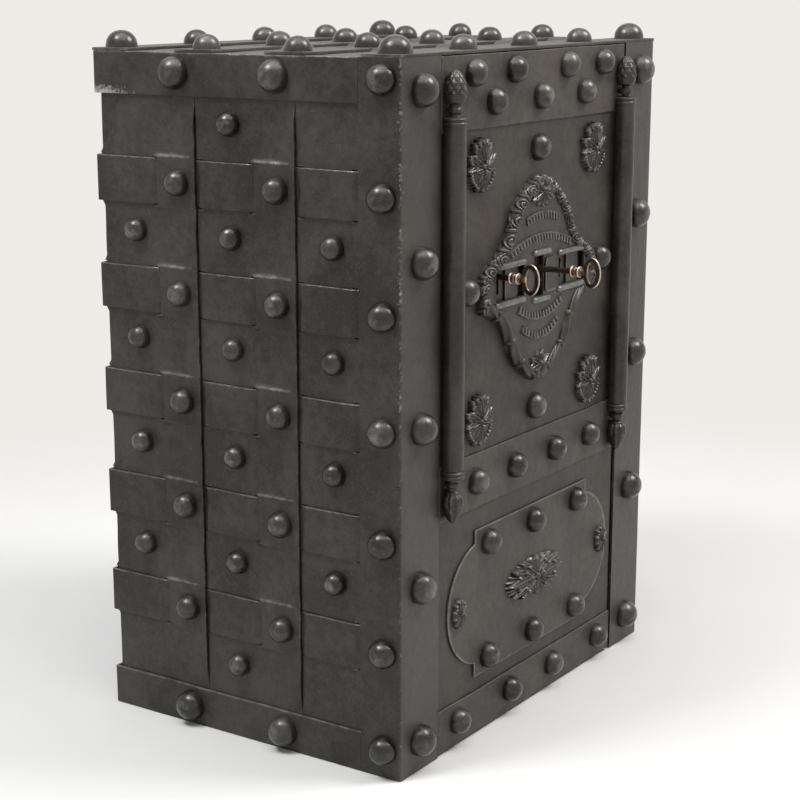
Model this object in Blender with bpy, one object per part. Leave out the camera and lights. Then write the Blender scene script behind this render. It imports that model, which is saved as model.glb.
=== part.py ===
"""Studded iron strongbox: an oak case under woven strapwork, with a cast key medallion.

Metres, +Z up. The origin is at the bottom centre of the case and the door faces -Y.
Every side skin is drawn in a face frame, seen from outside: X runs right, Y runs inward
and Z runs up.
"""
import math

import bmesh
import bpy
from mathutils import Matrix, Vector

for old in list(bpy.data.objects):
    bpy.data.objects.remove(old, do_unlink=True)

# Overall size of the case over its iron, without the studs
WIDTH = 0.730
DEPTH = 0.530
HEIGHT = 1.000

# Sheet iron, oak boards and the clearances between pieces
PLATE = 0.004
BOARD = 0.045
SEAT = 0.0003
SKIN = PLATE + SEAT
EASE = 0.0012
WOOD_DEPTH = SKIN + SKIN
BASE_PLATE = 0.004
SKIN_FOOT = 0.0008

# Band rows and strapwork
BAND = 0.066
ROWS = 5
ROW_FOOT = 0.125
ROW_HEAD = 0.121
TOP_BAND = 0.064
BOTTOM_BAND = 0.060
SLIT = 0.012
SOFT_RAMP = 0.009
LAP_EDGE = 0.012
LAP_RAMP = 0.008
SIDE_PLATE_SHARE = 0.384
BACK_PLATES = 3
REAR_INSET = 0.010
SLIT_SHARE = 0.43
CELL_STUD_SHARE = 0.35
CELL_STUD_RISE = 0.007
BAND_STUD_SHARE = 0.178

# Studs
STUD_SIDES = 8
SMALL_STUD_RADIUS = 0.019
SMALL_STUD_HEIGHT = 0.022
LARGE_STUD_RADIUS = 0.0225
LARGE_STUD_HEIGHT = 0.027
STUD_ROOT_SHARE = 0.5
STUD_RADIUS_SHARES = (1.0, 0.76)
STUD_HEIGHT_SHARES = (0.0, 0.70)

# Front corner plates
CORNER_SIDE_LEAF = 0.067
CORNER_FRONT_LEAF = 0.097
CORNER_STUD_END = 0.047
CORNER_FRONT_STUDS = 5
CORNER_SIDE_STUD_FOOT = 0.042
CORNER_SIDE_STUD_SHARE = 0.43

# Top plate and bands
TOP_BAND_WIDTH = 0.062
TOP_STUD_SIDE = 0.031
TOP_STUDS = 5
TOP_STUD_ROWS = 4
TOP_STUD_END = 0.029
TOP_LEFT_STRIP = 0.062

# Posts, shelf and base of the oak case
POST_LAP = 0.006
POST_DEPTH = 0.045
SHELF_HEIGHT = 0.500
SHELF_BOARD = 0.022
SHELF_FRONT = 0.115
CLEAT = 0.025
POST_FRONT = 0.008
BOARD_FRONT = 0.0125

# Door leaf
DOOR_LEFT_SEAM = 0.001
DOOR_HINGE_GAP = 0.0055
DOOR_TOP_GAP = 0.0015
DOOR_FOOT_GAP = 0.0055
DOOR_BAND = 0.003
CORE = 0.045
CORE_LEFT_STEP = 0.0115
CORE_END_GAP = 0.0025
INNER_SHEET = 0.003
INNER_SHEET_INSET = 0.004
UPPER_BAND = 0.1015
LOWER_BAND_LOW = 0.352
LOWER_BAND_HIGH = 0.433
FOOT_BAND = 0.069
UPPER_STUD_DROP = 0.0245
UPPER_STUD_ROWS = 0.041
UPPER_STUD_SHARES = (-0.698, -0.287, 0.287, 0.698)
UPPER_STAGGER_SHARES = (-0.489, 0.0, 0.489)
LOWER_STUD_SHARES = (-0.634, -0.224, 0.224, 0.634)
FOOT_STUD_SHARES = (-0.802, -0.243, 0.243, 0.802)
FOOT_STUD_DROP = 0.028
PANEL_STUD_RISE = 0.006
PANEL_STUD_SHARE = 0.42

# Cartouche plate with round ears
CARTOUCHE_MIDDLE = 0.205
CARTOUCHE_HALF_HEIGHT = 0.113
EAR_RADIUS = 0.094
EAR_MARGIN = 0.025
EAR_SHOULDER = 0.020
EAR_HALF_HEIGHT = 0.0925
EAR_STEPS = 12
CARTOUCHE_STUD_SIDE = 0.036
CARTOUCHE_STUD_END = 0.025
BOSS_SIDE = 0.025
BOSS_Z = 0.206
BOSS_RADIUS = 0.022
BOSS_HEIGHT = 0.013
BOSS_LOBES = 6

# Cast leaf ornaments
ROSETTE_SIDE = 0.0845
ROSETTE_DROP = 0.050
ROSETTE_RISE = 0.049
ROSETTE_RADIUS = 0.039
ROSETTE_HEIGHT = 0.016
ROSETTE_LOBES = 6
OVAL_Z = 0.205
OVAL_HALF_WIDTH = 0.087
OVAL_HALF_HEIGHT = 0.033
OVAL_HEIGHT = 0.014
OVAL_LOBES = 12
LEAF_ROOT = 0.003

# Columns; the hinge axis runs down the middle of the right one
COLUMN_SIDE = 0.0185
COLUMN_OUT = 0.0105
COLUMN_RADIUS = 0.0158
COLUMN_RING = 0.0168
COLUMN_NECK = 0.0065
COLUMN_SIDES = 12
COLUMN_DROP = 0.0175
CONE_HEIGHT = 0.045
RING_HEIGHT = 0.012
NECK_HEIGHT = 0.0175
BUD_HEIGHT = 0.048
COLUMN_LAP = 0.005
NECK_BEAD = 0.0100
NECK_BEAD_HALF = 0.0030
CONE_RADIUS = 0.0155
BUD_RADIUS = 0.0145

# Hinge arms
ARM_EYE_WALL = 0.0032
ARM_HEIGHT = 0.008
ARM_BAR = 0.0034
ARM_CLEAR = 0.0005

# Medallion
MEDALLION_RISE = 0.001
MEDALLION_SIDE_ROOM = 0.0617
MEDALLION_END_ROOM = 0.075
MEDALLION_PLATE = 0.008
MEDALLION_RIM = 0.016
RIM_WIDTH = 0.015
MEDALLION_SHARES = (
    (1.0, 0.0), (0.985, 0.10), (0.88, 0.23), (0.71, 0.32), (0.585, 0.45),
    (0.52, 0.62), (0.40, 0.78), (0.25, 0.90), (0.12, 0.985), (0.0, 1.0))

# Key windows: left ends and widths as shares of the medallion's half width
LEFT_WINDOW_SHARE = -0.744
MIDDLE_WINDOW_SHARE = -0.116
RIGHT_WINDOW_SHARE = 0.314
WINDOW_WIDTH_SHARE = 0.465
MIDDLE_WINDOW_WIDTH_SHARE = 0.163
MIDDLE_MOULDING_SHARE = 0.267
COVER_WIDTH_SHARE = 0.209
COVER_REST_SHARE = 0.198
MIDDLE_COVER_REST_SHARE = 0.174
WINDOW_HEIGHT = 0.045
MIDDLE_WINDOW_HEIGHT = 0.060
WINDOW_RISE = 0.0035
KEY_RISE = 0.016
MOULDING_RADIUS = 0.005
MOULDING_SIDES = 8
CHANNEL_LIP = 0.003
CHANNEL_DEPTH = 0.0036
COVER_PLATE = 0.003
MIDDLE_COVER_EASE = 0.004

# Keyholes and keys
KEYHOLE_SHARE = 0.225
MIDDLE_KEYHOLE_SHARE = 0.43
KEYHOLE_DOWN = 0.026
KEYHOLE_SIDES = 12
KEY_EASE = 0.0003
BIT_EASE = 0.001
CORE_KEYHOLE = 0.012
CORE_KEYHOLE_UP = 0.008
KEY_SHANK_RADIUS = 0.0045
KEY_SIDES = 8
KEY_LENGTH = 0.130
KEY_TIP_CLEAR = 0.003
KEY_PULLED_OUT = 0.043
BIT_LENGTH = 0.020
BIT_REACH = 0.018
BIT_THICK = 0.005
COLLAR_RADIUS = 0.0085
COLLAR_LENGTH = 0.014
COLLAR_FROM_BOW = 0.009
BOW_HALF_HEIGHT = 0.0190
BOW_HALF_LENGTH = 0.0108
BOW_BAND = 0.0036
BOW_THICK = 0.0025
BOW_STEPS = 18
BOW_SIDES = 6

# Lock case and bolts
LOCK_FROM_EDGE = 0.021
LOCK_PAST_KEY = 0.058
LOCK_HALF_HEIGHT = 0.134
LOCK_DEPTH = 0.0408
LOCK_WALL = 0.004
BOLT_FROM_EDGE = 0.015
BOLT_SLACK = 0.0005
MAIN_BOLT_HEIGHT = 0.026
MAIN_BOLT_THICK = 0.010
MAIN_BOLT_SPREAD = 0.112
BOLT_BACK = 0.0030
BAR_WIDTH = 0.016
BAR_THICK = 0.006
BAR_FROM_CASE = 0.032
TAIL_LOW = 0.028
TAIL_HEIGHT = 0.014
TAIL_PAST_KEY = 0.015
SIDE_BOLT_THICK = 0.009
SIDE_BOLT_BACK = 0.0125
SIDE_BOLT_HEIGHT = 0.014
MIDDLE_BOLT_DROP = 0.034
RIGHT_BOLT_RISE = 0.048
SIDE_BOLT_PAST_KEY = 0.024

# Cuts run past the surfaces that they open by this much
OVERRUN = 0.002

# Places worked out from the sizes above
FRONT = -DEPTH / 2
BACK = DEPTH / 2
CASE_TOP = HEIGHT - WOOD_DEPTH
SKIN_TOP = HEIGHT - SKIN
FACE_BACK = FRONT + DOOR_BAND + SEAT + PLATE
CORE_FRONT = FACE_BACK + SEAT
CORE_BACK = CORE_FRONT + CORE
SHEET_BACK = CORE_BACK + SEAT + INNER_SHEET
LOCK_FRONT = SHEET_BACK + SEAT
OPENING = WIDTH / 2 - CORNER_FRONT_LEAF
DOOR_LEFT = -OPENING + DOOR_LEFT_SEAM
DOOR_RIGHT = OPENING - DOOR_HINGE_GAP
DOOR_TOP = HEIGHT - PLATE - DOOR_TOP_GAP
HINGE_Y = FRONT - COLUMN_OUT
WALL_IN = WIDTH / 2 - WOOD_DEPTH - BOARD
FLOOR_TOP = BASE_PLATE + SEAT + BOARD
ROOF_UNDER = CASE_TOP - BOARD

ROW_PITCH = (HEIGHT - TOP_BAND - ROW_HEAD - BOTTOM_BAND - ROW_FOOT) / (ROWS - 1)
SIDE_PLATE_PITCH = (DEPTH - REAR_INSET - CORNER_SIDE_LEAF) * SIDE_PLATE_SHARE
TOP_STUD_PITCH = (WIDTH - 2 * TOP_STUD_SIDE) / (TOP_STUDS - 1)
TOP_ROW_PITCH = (DEPTH - 2 * TOP_STUD_END) / (TOP_STUD_ROWS - 1)

PANEL_TOP = DOOR_TOP - UPPER_BAND
PANEL_MIDDLE = (PANEL_TOP + LOWER_BAND_HIGH) / 2
COLUMN_X = OPENING - COLUMN_SIDE
CONE_TOP = DOOR_TOP - COLUMN_DROP
CONE_FOOT = CONE_TOP - CONE_HEIGHT
UPPER_RING_TOP = CONE_FOOT - NECK_HEIGHT
UPPER_RING_FOOT = UPPER_RING_TOP - RING_HEIGHT
LOWER_RING_TOP = LOWER_BAND_HIGH - COLUMN_LAP
LOWER_RING_FOOT = LOWER_RING_TOP - RING_HEIGHT
BUD_TOP = LOWER_RING_FOOT - NECK_HEIGHT
BUD_FOOT = BUD_TOP - BUD_HEIGHT

EAR_CENTRE = OPENING - EAR_MARGIN - EAR_RADIUS
CARTOUCHE_HALF_WIDTH = EAR_CENTRE + EAR_SHOULDER

MEDALLION_Z = PANEL_MIDDLE + MEDALLION_RISE
MEDALLION_HALF_WIDTH = COLUMN_X - COLUMN_RADIUS - MEDALLION_SIDE_ROOM
MEDALLION_HALF_HEIGHT = (PANEL_TOP - LOWER_BAND_HIGH) / 2 - MEDALLION_END_ROOM
WINDOW_LEFT = MEDALLION_HALF_WIDTH * LEFT_WINDOW_SHARE
WINDOW_MIDDLE = MEDALLION_HALF_WIDTH * MIDDLE_WINDOW_SHARE
WINDOW_RIGHT = MEDALLION_HALF_WIDTH * RIGHT_WINDOW_SHARE
WINDOW_WIDTH = MEDALLION_HALF_WIDTH * WINDOW_WIDTH_SHARE
MIDDLE_WINDOW_WIDTH = MEDALLION_HALF_WIDTH * MIDDLE_WINDOW_WIDTH_SHARE
COVER_WIDTH = MEDALLION_HALF_WIDTH * COVER_WIDTH_SHARE
WINDOW_Z = MEDALLION_Z + WINDOW_RISE
KEY_Z = MEDALLION_Z + KEY_RISE
LEFT_KEY_X = WINDOW_LEFT + WINDOW_WIDTH * KEYHOLE_SHARE
MIDDLE_KEY_X = WINDOW_MIDDLE + MIDDLE_WINDOW_WIDTH * MIDDLE_KEYHOLE_SHARE
RIGHT_KEY_X = WINDOW_RIGHT + WINDOW_WIDTH * KEYHOLE_SHARE
LOCK_LEFT = DOOR_LEFT + LOCK_FROM_EDGE
LOCK_RIGHT = RIGHT_KEY_X + LOCK_PAST_KEY
LOCK_LOW = KEY_Z - LOCK_HALF_HEIGHT
LOCK_HIGH = KEY_Z + LOCK_HALF_HEIGHT
BOLT_TIP = DOOR_LEFT + BOLT_FROM_EDGE
BAR_X = LOCK_LEFT + BAR_FROM_CASE
TAIL_END = LEFT_KEY_X + TAIL_PAST_KEY

PAINTED_IRON = (0.047, 0.045, 0.043)
DOOR_IRON = (0.055, 0.051, 0.048)
CAST_IRON = (0.050, 0.048, 0.046)
BRIGHT_STEEL = (0.34, 0.32, 0.30)
KEY_STEEL = (0.16, 0.11, 0.09)
OAK = (0.21, 0.12, 0.06)


def finish(name, colour, roughness, metallic):
    """A Principled material with one colour."""
    material = bpy.data.materials.new(name)
    material.use_nodes = True
    shader = material.node_tree.nodes["Principled BSDF"]
    shader.inputs["Base Color"].default_value = (*colour, 1.0)
    shader.inputs["Roughness"].default_value = roughness
    shader.inputs["Metallic"].default_value = metallic
    return material


def iron(name, colour=PAINTED_IRON):
    return finish(name + "_paint", colour, 0.45, 0.6)


def oak(name):
    return finish(name + "_oak", OAK, 0.7, 0.0)


def steel(name, colour=BRIGHT_STEEL):
    return finish(name + "_steel", colour, 0.35, 0.9)


def make(name, bm, material, place=None, parent=None):
    """Turn a bmesh into a named object, placed by a matrix or under a parent empty."""
    bmesh.ops.recalc_face_normals(bm, faces=bm.faces)
    mesh = bpy.data.meshes.new(name)
    bm.to_mesh(mesh)
    bm.free()
    mesh.materials.append(material)
    obj = bpy.data.objects.new(name, mesh)
    bpy.context.scene.collection.objects.link(obj)
    obj.matrix_world = place if place is not None else Matrix()
    if parent is not None:
        obj.parent = parent
        obj.matrix_parent_inverse = Matrix.Translation(-parent.location)
    return obj


def tool(name, bm, parent_piece):
    """A hidden body that a Boolean modifier reads, in the frame of the piece it works on."""
    obj = make(name, bm, parent_piece.data.materials[0], parent_piece.matrix_world.copy())
    if parent_piece.parent is not None:
        obj.parent = parent_piece.parent
        obj.matrix_parent_inverse = parent_piece.matrix_parent_inverse.copy()
        obj.matrix_basis = parent_piece.matrix_basis.copy()
    obj.hide_render = True
    obj.display_type = "WIRE"
    return obj


def combine(piece, bm, operation, label):
    """Add a live Boolean to a piece: DIFFERENCE cuts, UNION fuses."""
    modifier = piece.modifiers.new(label, "BOOLEAN")
    modifier.operation = operation
    modifier.solver = "EXACT"
    modifier.object = tool(piece.name + "_" + label, bm, piece)


def add_box(bm, low, high):
    """Add a box between two corners to a bmesh."""
    low, high = Vector(low), Vector(high)
    centre = (low + high) / 2
    size = Matrix.Diagonal((*(high - low), 1.0))
    bmesh.ops.create_cube(bm, size=1.0, matrix=Matrix.Translation(centre) @ size)


def box(low, high):
    bm = bmesh.new()
    add_box(bm, low, high)
    return bm


def add_prism(bm, outline, low, high, lift):
    """Extrude a flat outline; lift turns (a, b, height) into a point."""
    bottom = [bm.verts.new(lift(a, b, low)) for a, b in outline]
    top = [bm.verts.new(lift(a, b, high)) for a, b in outline]
    bm.faces.new(bottom[::-1])
    bm.faces.new(top)
    count = len(outline)
    for k in range(count):
        n = (k + 1) % count
        bm.faces.new((bottom[k], bottom[n], top[n], top[k]))


def upright(a, b, h):
    """Outline in plan, extruded upwards."""
    return Vector((a, b, h))


def facing(a, b, h):
    """Outline on a face (x, z), extruded along Y."""
    return Vector((a, h, b))


def ribbon(bm, outer, inner, low, high):
    """A strip that follows a path in plan: outer and inner points, between two heights."""
    rings = []
    for o, i in zip(outer, inner):
        corners = ((o, low), (i, low), (i, high), (o, high))
        rings.append([bm.verts.new((p[0], p[1], z)) for p, z in corners])
    for a, b in zip(rings, rings[1:]):
        for k in range(4):
            n = (k + 1) % 4
            bm.faces.new((a[k], a[n], b[n], b[k]))
    bm.faces.new(rings[0])
    bm.faces.new(rings[-1][::-1])


def add_turned(bm, profile, sides, frame=Matrix()):
    """Turn a profile of (radius, height) about Z; zero radius closes an end in a point."""
    rings = []
    for radius, height in profile:
        if radius == 0:
            rings.append([bm.verts.new(frame @ Vector((0, 0, height)))])
            continue
        turns = [math.tau * k / sides for k in range(sides)]
        points = [Vector((radius * math.cos(t), radius * math.sin(t), height)) for t in turns]
        rings.append([bm.verts.new(frame @ p) for p in points])
    for a, b in zip(rings, rings[1:]):
        for k in range(sides):
            n = (k + 1) % sides
            corners = [a[k % len(a)], a[n % len(a)], b[n % len(b)], b[k % len(b)]]
            kept = [v for j, v in enumerate(corners) if v not in corners[:j]]
            bm.faces.new(kept)
    for ring in (rings[0], rings[-1]):
        if len(ring) > 1:
            bm.faces.new(ring)


def smooth(piece, angle=40.0):
    piece.data.shade_smooth()
    piece.data.set_sharp_from_angle(angle=math.radians(angle))


def facing_frame(point, outward):
    """A frame at a point whose Z looks along the outward direction."""
    turn = Vector((0, 0, 1)).rotation_difference(Vector(outward)).to_matrix().to_4x4()
    return Matrix.Translation(point) @ turn


def fuse_studs(piece, places):
    """Fuse round-headed studs to a piece: places are (point, outward, large)."""
    bm = bmesh.new()
    for point, outward, large in places:
        radius = LARGE_STUD_RADIUS if large else SMALL_STUD_RADIUS
        height = LARGE_STUD_HEIGHT if large else SMALL_STUD_HEIGHT
        root = DOOR_BAND * STUD_ROOT_SHARE
        profile = [(radius, -root)]
        for r_share, h_share in zip(STUD_RADIUS_SHARES, STUD_HEIGHT_SHARES):
            profile.append((radius * r_share, height * h_share))
        profile.append((0, height))
        add_turned(bm, profile, STUD_SIDES, facing_frame(Vector(point), outward))
    combine(piece, bm, "UNION", "studs")


# Faces of the case, each with the frame of its left corner seen from outside

LEFT_FACE = Matrix.Translation((-WIDTH / 2, BACK, 0)) @ Matrix.Rotation(-math.pi / 2, 4, "Z")
RIGHT_FACE = Matrix.Translation((WIDTH / 2, BACK, 0)) @ Matrix.Rotation(math.pi / 2, 4, "Z")
BACK_FACE = Matrix.Translation((WIDTH / 2, BACK, 0)) @ Matrix.Rotation(math.pi, 4, "Z")
TOP_FACE = Matrix.Translation((-WIDTH / 2, FRONT, HEIGHT)) @ Matrix.Rotation(-math.pi / 2, 4, "X")
SIDE_ROWS = [BOTTOM_BAND + ROW_FOOT + ROW_PITCH * k for k in range(ROWS)]
TOP_ROWS = [TOP_STUD_END + TOP_ROW_PITCH * k for k in range(1, TOP_STUD_ROWS - 1)]
OUT = (0, -1, 0)


def side_plates():
    """Plates of one side from the rear: (left, right, slit middle or None)."""
    first = REAR_INSET + SIDE_PLATE_PITCH
    second = first + SIDE_PLATE_PITCH
    slit_back = SIDE_PLATE_PITCH * SLIT_SHARE
    return [(REAR_INSET, first, first - slit_back), (first, second, second - slit_back),
            (second, DEPTH - REAR_INSET, None)]


def back_plates():
    """Plates of the back from its left: (left, right, slit middle)."""
    pitch = (WIDTH - REAR_INSET - REAR_INSET) / BACK_PLATES
    edges = [REAR_INSET + pitch * k for k in range(BACK_PLATES + 1)]
    return [(a, b, b - pitch * SLIT_SHARE) for a, b in zip(edges, edges[1:])]


def top_modules():
    """The top sheet as four stretches from the left: (left, right, slit middle)."""
    edges = [TOP_LEFT_STRIP + (WIDTH - TOP_LEFT_STRIP) * k / 4 for k in range(5)]
    pitch = edges[1] - edges[0]
    return [(a, b, b - pitch * SLIT_SHARE) for a, b in zip(edges, edges[1:])]


def woven_sheet(columns, rows, low, high, is_open, is_proud):
    """A sheet whose outer face steps between two levels and is slit where bands pass.

    The grid is columns by rows; is_open says which cells are slits, and is_proud says
    which corners stand at the outer level instead of one skin deeper.
    """
    bm = bmesh.new()
    heights = sorted({low, high, *rows})
    columns = sorted(set(columns))
    points = {}
    for i, u in enumerate(columns):
        for j, z in enumerate(heights):
            depth = 0 if is_proud(u, z) else SKIN
            outer = bm.verts.new((u, depth, z))
            inner = bm.verts.new((u, depth + PLATE, z))
            points[i, j] = (outer, inner)

    def closed(i, j):
        inside = 0 <= i < len(columns) - 1 and 0 <= j < len(heights) - 1
        if not inside:
            return False
        middle_u = (columns[i] + columns[i + 1]) / 2
        middle_z = (heights[j] + heights[j + 1]) / 2
        return not is_open(middle_u, middle_z)

    for i in range(len(columns) - 1):
        for j in range(len(heights) - 1):
            if not closed(i, j):
                continue
            corners = [points[i, j], points[i + 1, j], points[i + 1, j + 1], points[i, j + 1]]
            bm.faces.new([c[0] for c in corners])
            bm.faces.new([c[1] for c in reversed(corners)])
            beside = ((i, j - 1), (i + 1, j), (i, j + 1), (i - 1, j))
            for k, neighbour in enumerate(beside):
                if not closed(*neighbour):
                    p, q = corners[k], corners[(k + 1) % 4]
                    bm.faces.new((p[0], p[1], q[1], q[0]))
    loose = [v for v in bm.verts if not v.link_faces]
    bmesh.ops.delete(bm, geom=loose, context="VERTS")
    flat = math.radians(0.5)
    bmesh.ops.dissolve_limit(bm, angle_limit=flat, verts=bm.verts, edges=bm.edges)
    return bm


def row_heights(rows, half):
    """Heights where a sheet starts and ends its swell over a band row."""
    heights = []
    for row in rows:
        for reach in (half + SOFT_RAMP, half):
            heights += [row - reach, row + reach]
    return heights


def side_plate_bmesh(left, right, slit, first, last, leaf):
    """One plate of a side or of the back.

    first: the plate starts at a corner, with no notch for bands on its left edge.
    last: the plate ends at a corner or under the front corner plate.
    leaf: where the front corner plate begins, or None.
    """
    half = BAND / 2 + EASE
    foot = BOTTOM_BAND + EASE
    head = HEIGHT - TOP_BAND - EASE
    left_edge = left if first else left + SEAT
    opens = []
    if not first:
        opens.append((left_edge, left + SLIT))
    columns = [left_edge, right]
    proud_from = None
    if slit is not None:
        opens.append((slit - SLIT / 2, slit + SLIT / 2))
        proud_from = slit + SLIT / 2
    proud_to = right
    if last and leaf is None:
        opens.append((right - SLIT, right))
        proud_to = right - SLIT
    if leaf is not None:
        opens.append((leaf - SLIT, right))
    lap = slit is not None and not last
    lap_full = right - LAP_EDGE
    if lap:
        columns += [lap_full - LAP_RAMP, lap_full]
    for a, b in opens:
        columns += [a, b]

    def in_row(z):
        return any(abs(z - row) <= half + SEAT for row in SIDE_ROWS)

    def is_open(u, z):
        return in_row(z) and any(a < u < b for a, b in opens)

    def is_proud(u, z):
        if proud_from is None:
            return False
        if in_row(z) and proud_from - SEAT <= u <= proud_to + SEAT:
            return True
        between = foot + SOFT_RAMP - SEAT <= z <= head - SOFT_RAMP + SEAT
        return lap and between and u >= lap_full - SEAT

    rows = row_heights(SIDE_ROWS, half)
    if lap:
        rows += [foot, foot + SOFT_RAMP, head - SOFT_RAMP, head]
    return woven_sheet(columns, rows, SKIN_FOOT, CASE_TOP - SEAT, is_open, is_proud)


def plate_studs(left, right, slit, cell_rows):
    """Studs of one plate: through plate and band at each row, and in the cells between."""
    width = right - left
    places = []
    if slit is not None:
        place = right - width * BAND_STUD_SHARE
        places += [((place, 0, z), OUT, False) for z in SIDE_ROWS]
    place = left + width * CELL_STUD_SHARE
    places += [((place, SKIN, z), OUT, False) for z in cell_rows]
    return places


def cell_heights(first, count):
    """Middles of the cells between band rows, counted up from the lowest."""
    lowest = SIDE_ROWS[0] - ROW_PITCH / 2 + CELL_STUD_RISE
    return [lowest + ROW_PITCH * (first + k) for k in range(count)]


def mirrored(bm):
    bmesh.ops.scale(bm, vec=(-1, 1, 1), verts=bm.verts)
    bmesh.ops.reverse_faces(bm, faces=bm.faces)
    return bm


def side_skin(side, face, flip):
    """The three overlapping plates of one side, rear to front."""
    leaf = DEPTH - CORNER_SIDE_LEAF
    cells = {"rear": cell_heights(1, 4), "middle": cell_heights(0, 6), "front": cell_heights(1, 4)}
    for name, (left, right, slit) in zip(cells, side_plates()):
        first, last = name == "rear", name == "front"
        bm = side_plate_bmesh(left, right, slit, first, last, leaf if last else None)
        reach = right if slit is not None else left + SIDE_PLATE_PITCH
        studs = plate_studs(left, reach, slit, cells[name])
        if flip:
            bm = mirrored(bm)
            studs = [((-p[0], p[1], p[2]), out, large) for p, out, large in studs]
        label = side + "_plate_" + name
        piece = make(label, bm, iron(label), face)
        fuse_studs(piece, studs)


def back_skin():
    """The overlapping plates of the back, left to right seen from behind."""
    plates = back_plates()
    for k, (left, right, slit) in enumerate(plates):
        first, last = k == 0, k == len(plates) - 1
        bm = side_plate_bmesh(left, right, slit, first, last, None)
        cells = cell_heights(0, 6) if k % 2 else cell_heights(1, 4)
        label = "back_plate_%d" % (k + 1)
        piece = make(label, bm, iron(label), BACK_FACE)
        reach = right - SLIT if last else right
        fuse_studs(piece, plate_studs(left, reach, slit, cells))


def weave_path(plates, ends_at_leaf):
    """Path of a band along one face: (place, depth) where it dives and comes out."""
    path = []
    for k, (left, right, slit) in enumerate(plates):
        if slit is None:
            continue
        start, end = slit - SLIT / 2 + SEAT, slit + SLIT / 2 - SEAT
        path += [(start, 0), (end, SKIN)]
        corner = k == len(plates) - 1
        edge = right - SLIT if corner else right
        path += [(edge + SEAT, SKIN), (edge + SLIT - SEAT, 0)]
    if ends_at_leaf:
        leaf = DEPTH - CORNER_SIDE_LEAF
        path += [(leaf - SLIT + SEAT, 0), (leaf - SEAT, SKIN)]
        path.append((DEPTH - REAR_INSET, SKIN))
    return path


def chain(side_path, back_path, extra):
    """World points of a band round the case, at extra depth below its outer face."""
    points = []
    for u, depth in reversed(side_path):
        points.append((WIDTH / 2 - depth - extra, BACK - u))
    points.append((WIDTH / 2 - extra, BACK - extra))
    for u, depth in back_path:
        points.append((WIDTH / 2 - u, BACK - depth - extra))
    points.append((-WIDTH / 2 + extra, BACK - extra))
    for u, depth in side_path:
        points.append((-WIDTH / 2 + depth + extra, BACK - u))
    return points


def side_band(name, side_path, back_path, low, high):
    """A band that runs along one side, round the back and along the other side."""
    bm = bmesh.new()
    outer = chain(side_path, back_path, 0)
    inner = chain(side_path, back_path, PLATE)
    ribbon(bm, outer, inner, low, high)
    return make(name, bm, iron(name))


def plain_band_studs(height):
    """Large studs of the plain top and bottom bands, over the plates' own stud lines."""
    places = []
    for left, right, slit in side_plates()[:2]:
        y = BACK - (right - (right - left) * BAND_STUD_SHARE)
        places.append(((-WIDTH / 2, y, height), (-1, 0, 0), True))
        places.append(((WIDTH / 2, y, height), (1, 0, 0), True))
    for left, right, slit in back_plates():
        x = WIDTH / 2 - (right - (right - left) * BAND_STUD_SHARE)
        places.append(((x, BACK, height), (0, 1, 0), True))
    return places


def side_bands():
    woven_side = weave_path(side_plates(), True)
    woven_back = weave_path(back_plates(), False)
    for k, row in enumerate(SIDE_ROWS):
        name = "woven_band_%d" % (k + 1)
        side_band(name, woven_side, woven_back, row - BAND / 2, row + BAND / 2)
    plain = [(DEPTH - CORNER_SIDE_LEAF - SEAT, 0)]
    top_low = HEIGHT - TOP_BAND
    top = side_band("top_side_band", plain, [], top_low, SKIN_TOP)
    fuse_studs(top, plain_band_studs(HEIGHT - TOP_BAND / 2))
    foot = side_band("bottom_side_band", plain, [], SKIN_FOOT, BOTTOM_BAND)
    fuse_studs(foot, plain_band_studs(BOTTOM_BAND / 2))


def corner_plate(name, side):
    """An angle plate down a front corner; side is -1 on the left and 1 on the right."""
    edge = side * WIDTH / 2
    leaf = FRONT + CORNER_SIDE_LEAF
    outer = [(edge, leaf), (edge, FRONT), (side * OPENING, FRONT)]
    inside = side * (WIDTH / 2 - PLATE)
    inner = [(inside, leaf), (inside, FRONT + PLATE), (side * OPENING, FRONT + PLATE)]
    bm = bmesh.new()
    ribbon(bm, outer, inner, SKIN_FOOT, SKIN_TOP)
    piece = make(name, bm, iron(name))
    places = []
    side_y = FRONT + CORNER_SIDE_LEAF * CORNER_SIDE_STUD_SHARE
    for z in (CORNER_SIDE_STUD_FOOT, *SIDE_ROWS, HEIGHT - TOP_BAND / 2):
        places.append(((edge, side_y, z), (side, 0, 0), True))
    front_x = side * (WIDTH / 2 - CORNER_FRONT_LEAF / 2)
    pitch = (HEIGHT - 2 * CORNER_STUD_END) / (CORNER_FRONT_STUDS - 1)
    for k in range(CORNER_FRONT_STUDS):
        z = CORNER_STUD_END + pitch * k
        places.append(((front_x, FRONT, z), OUT, True))
    fuse_studs(piece, places)


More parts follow.
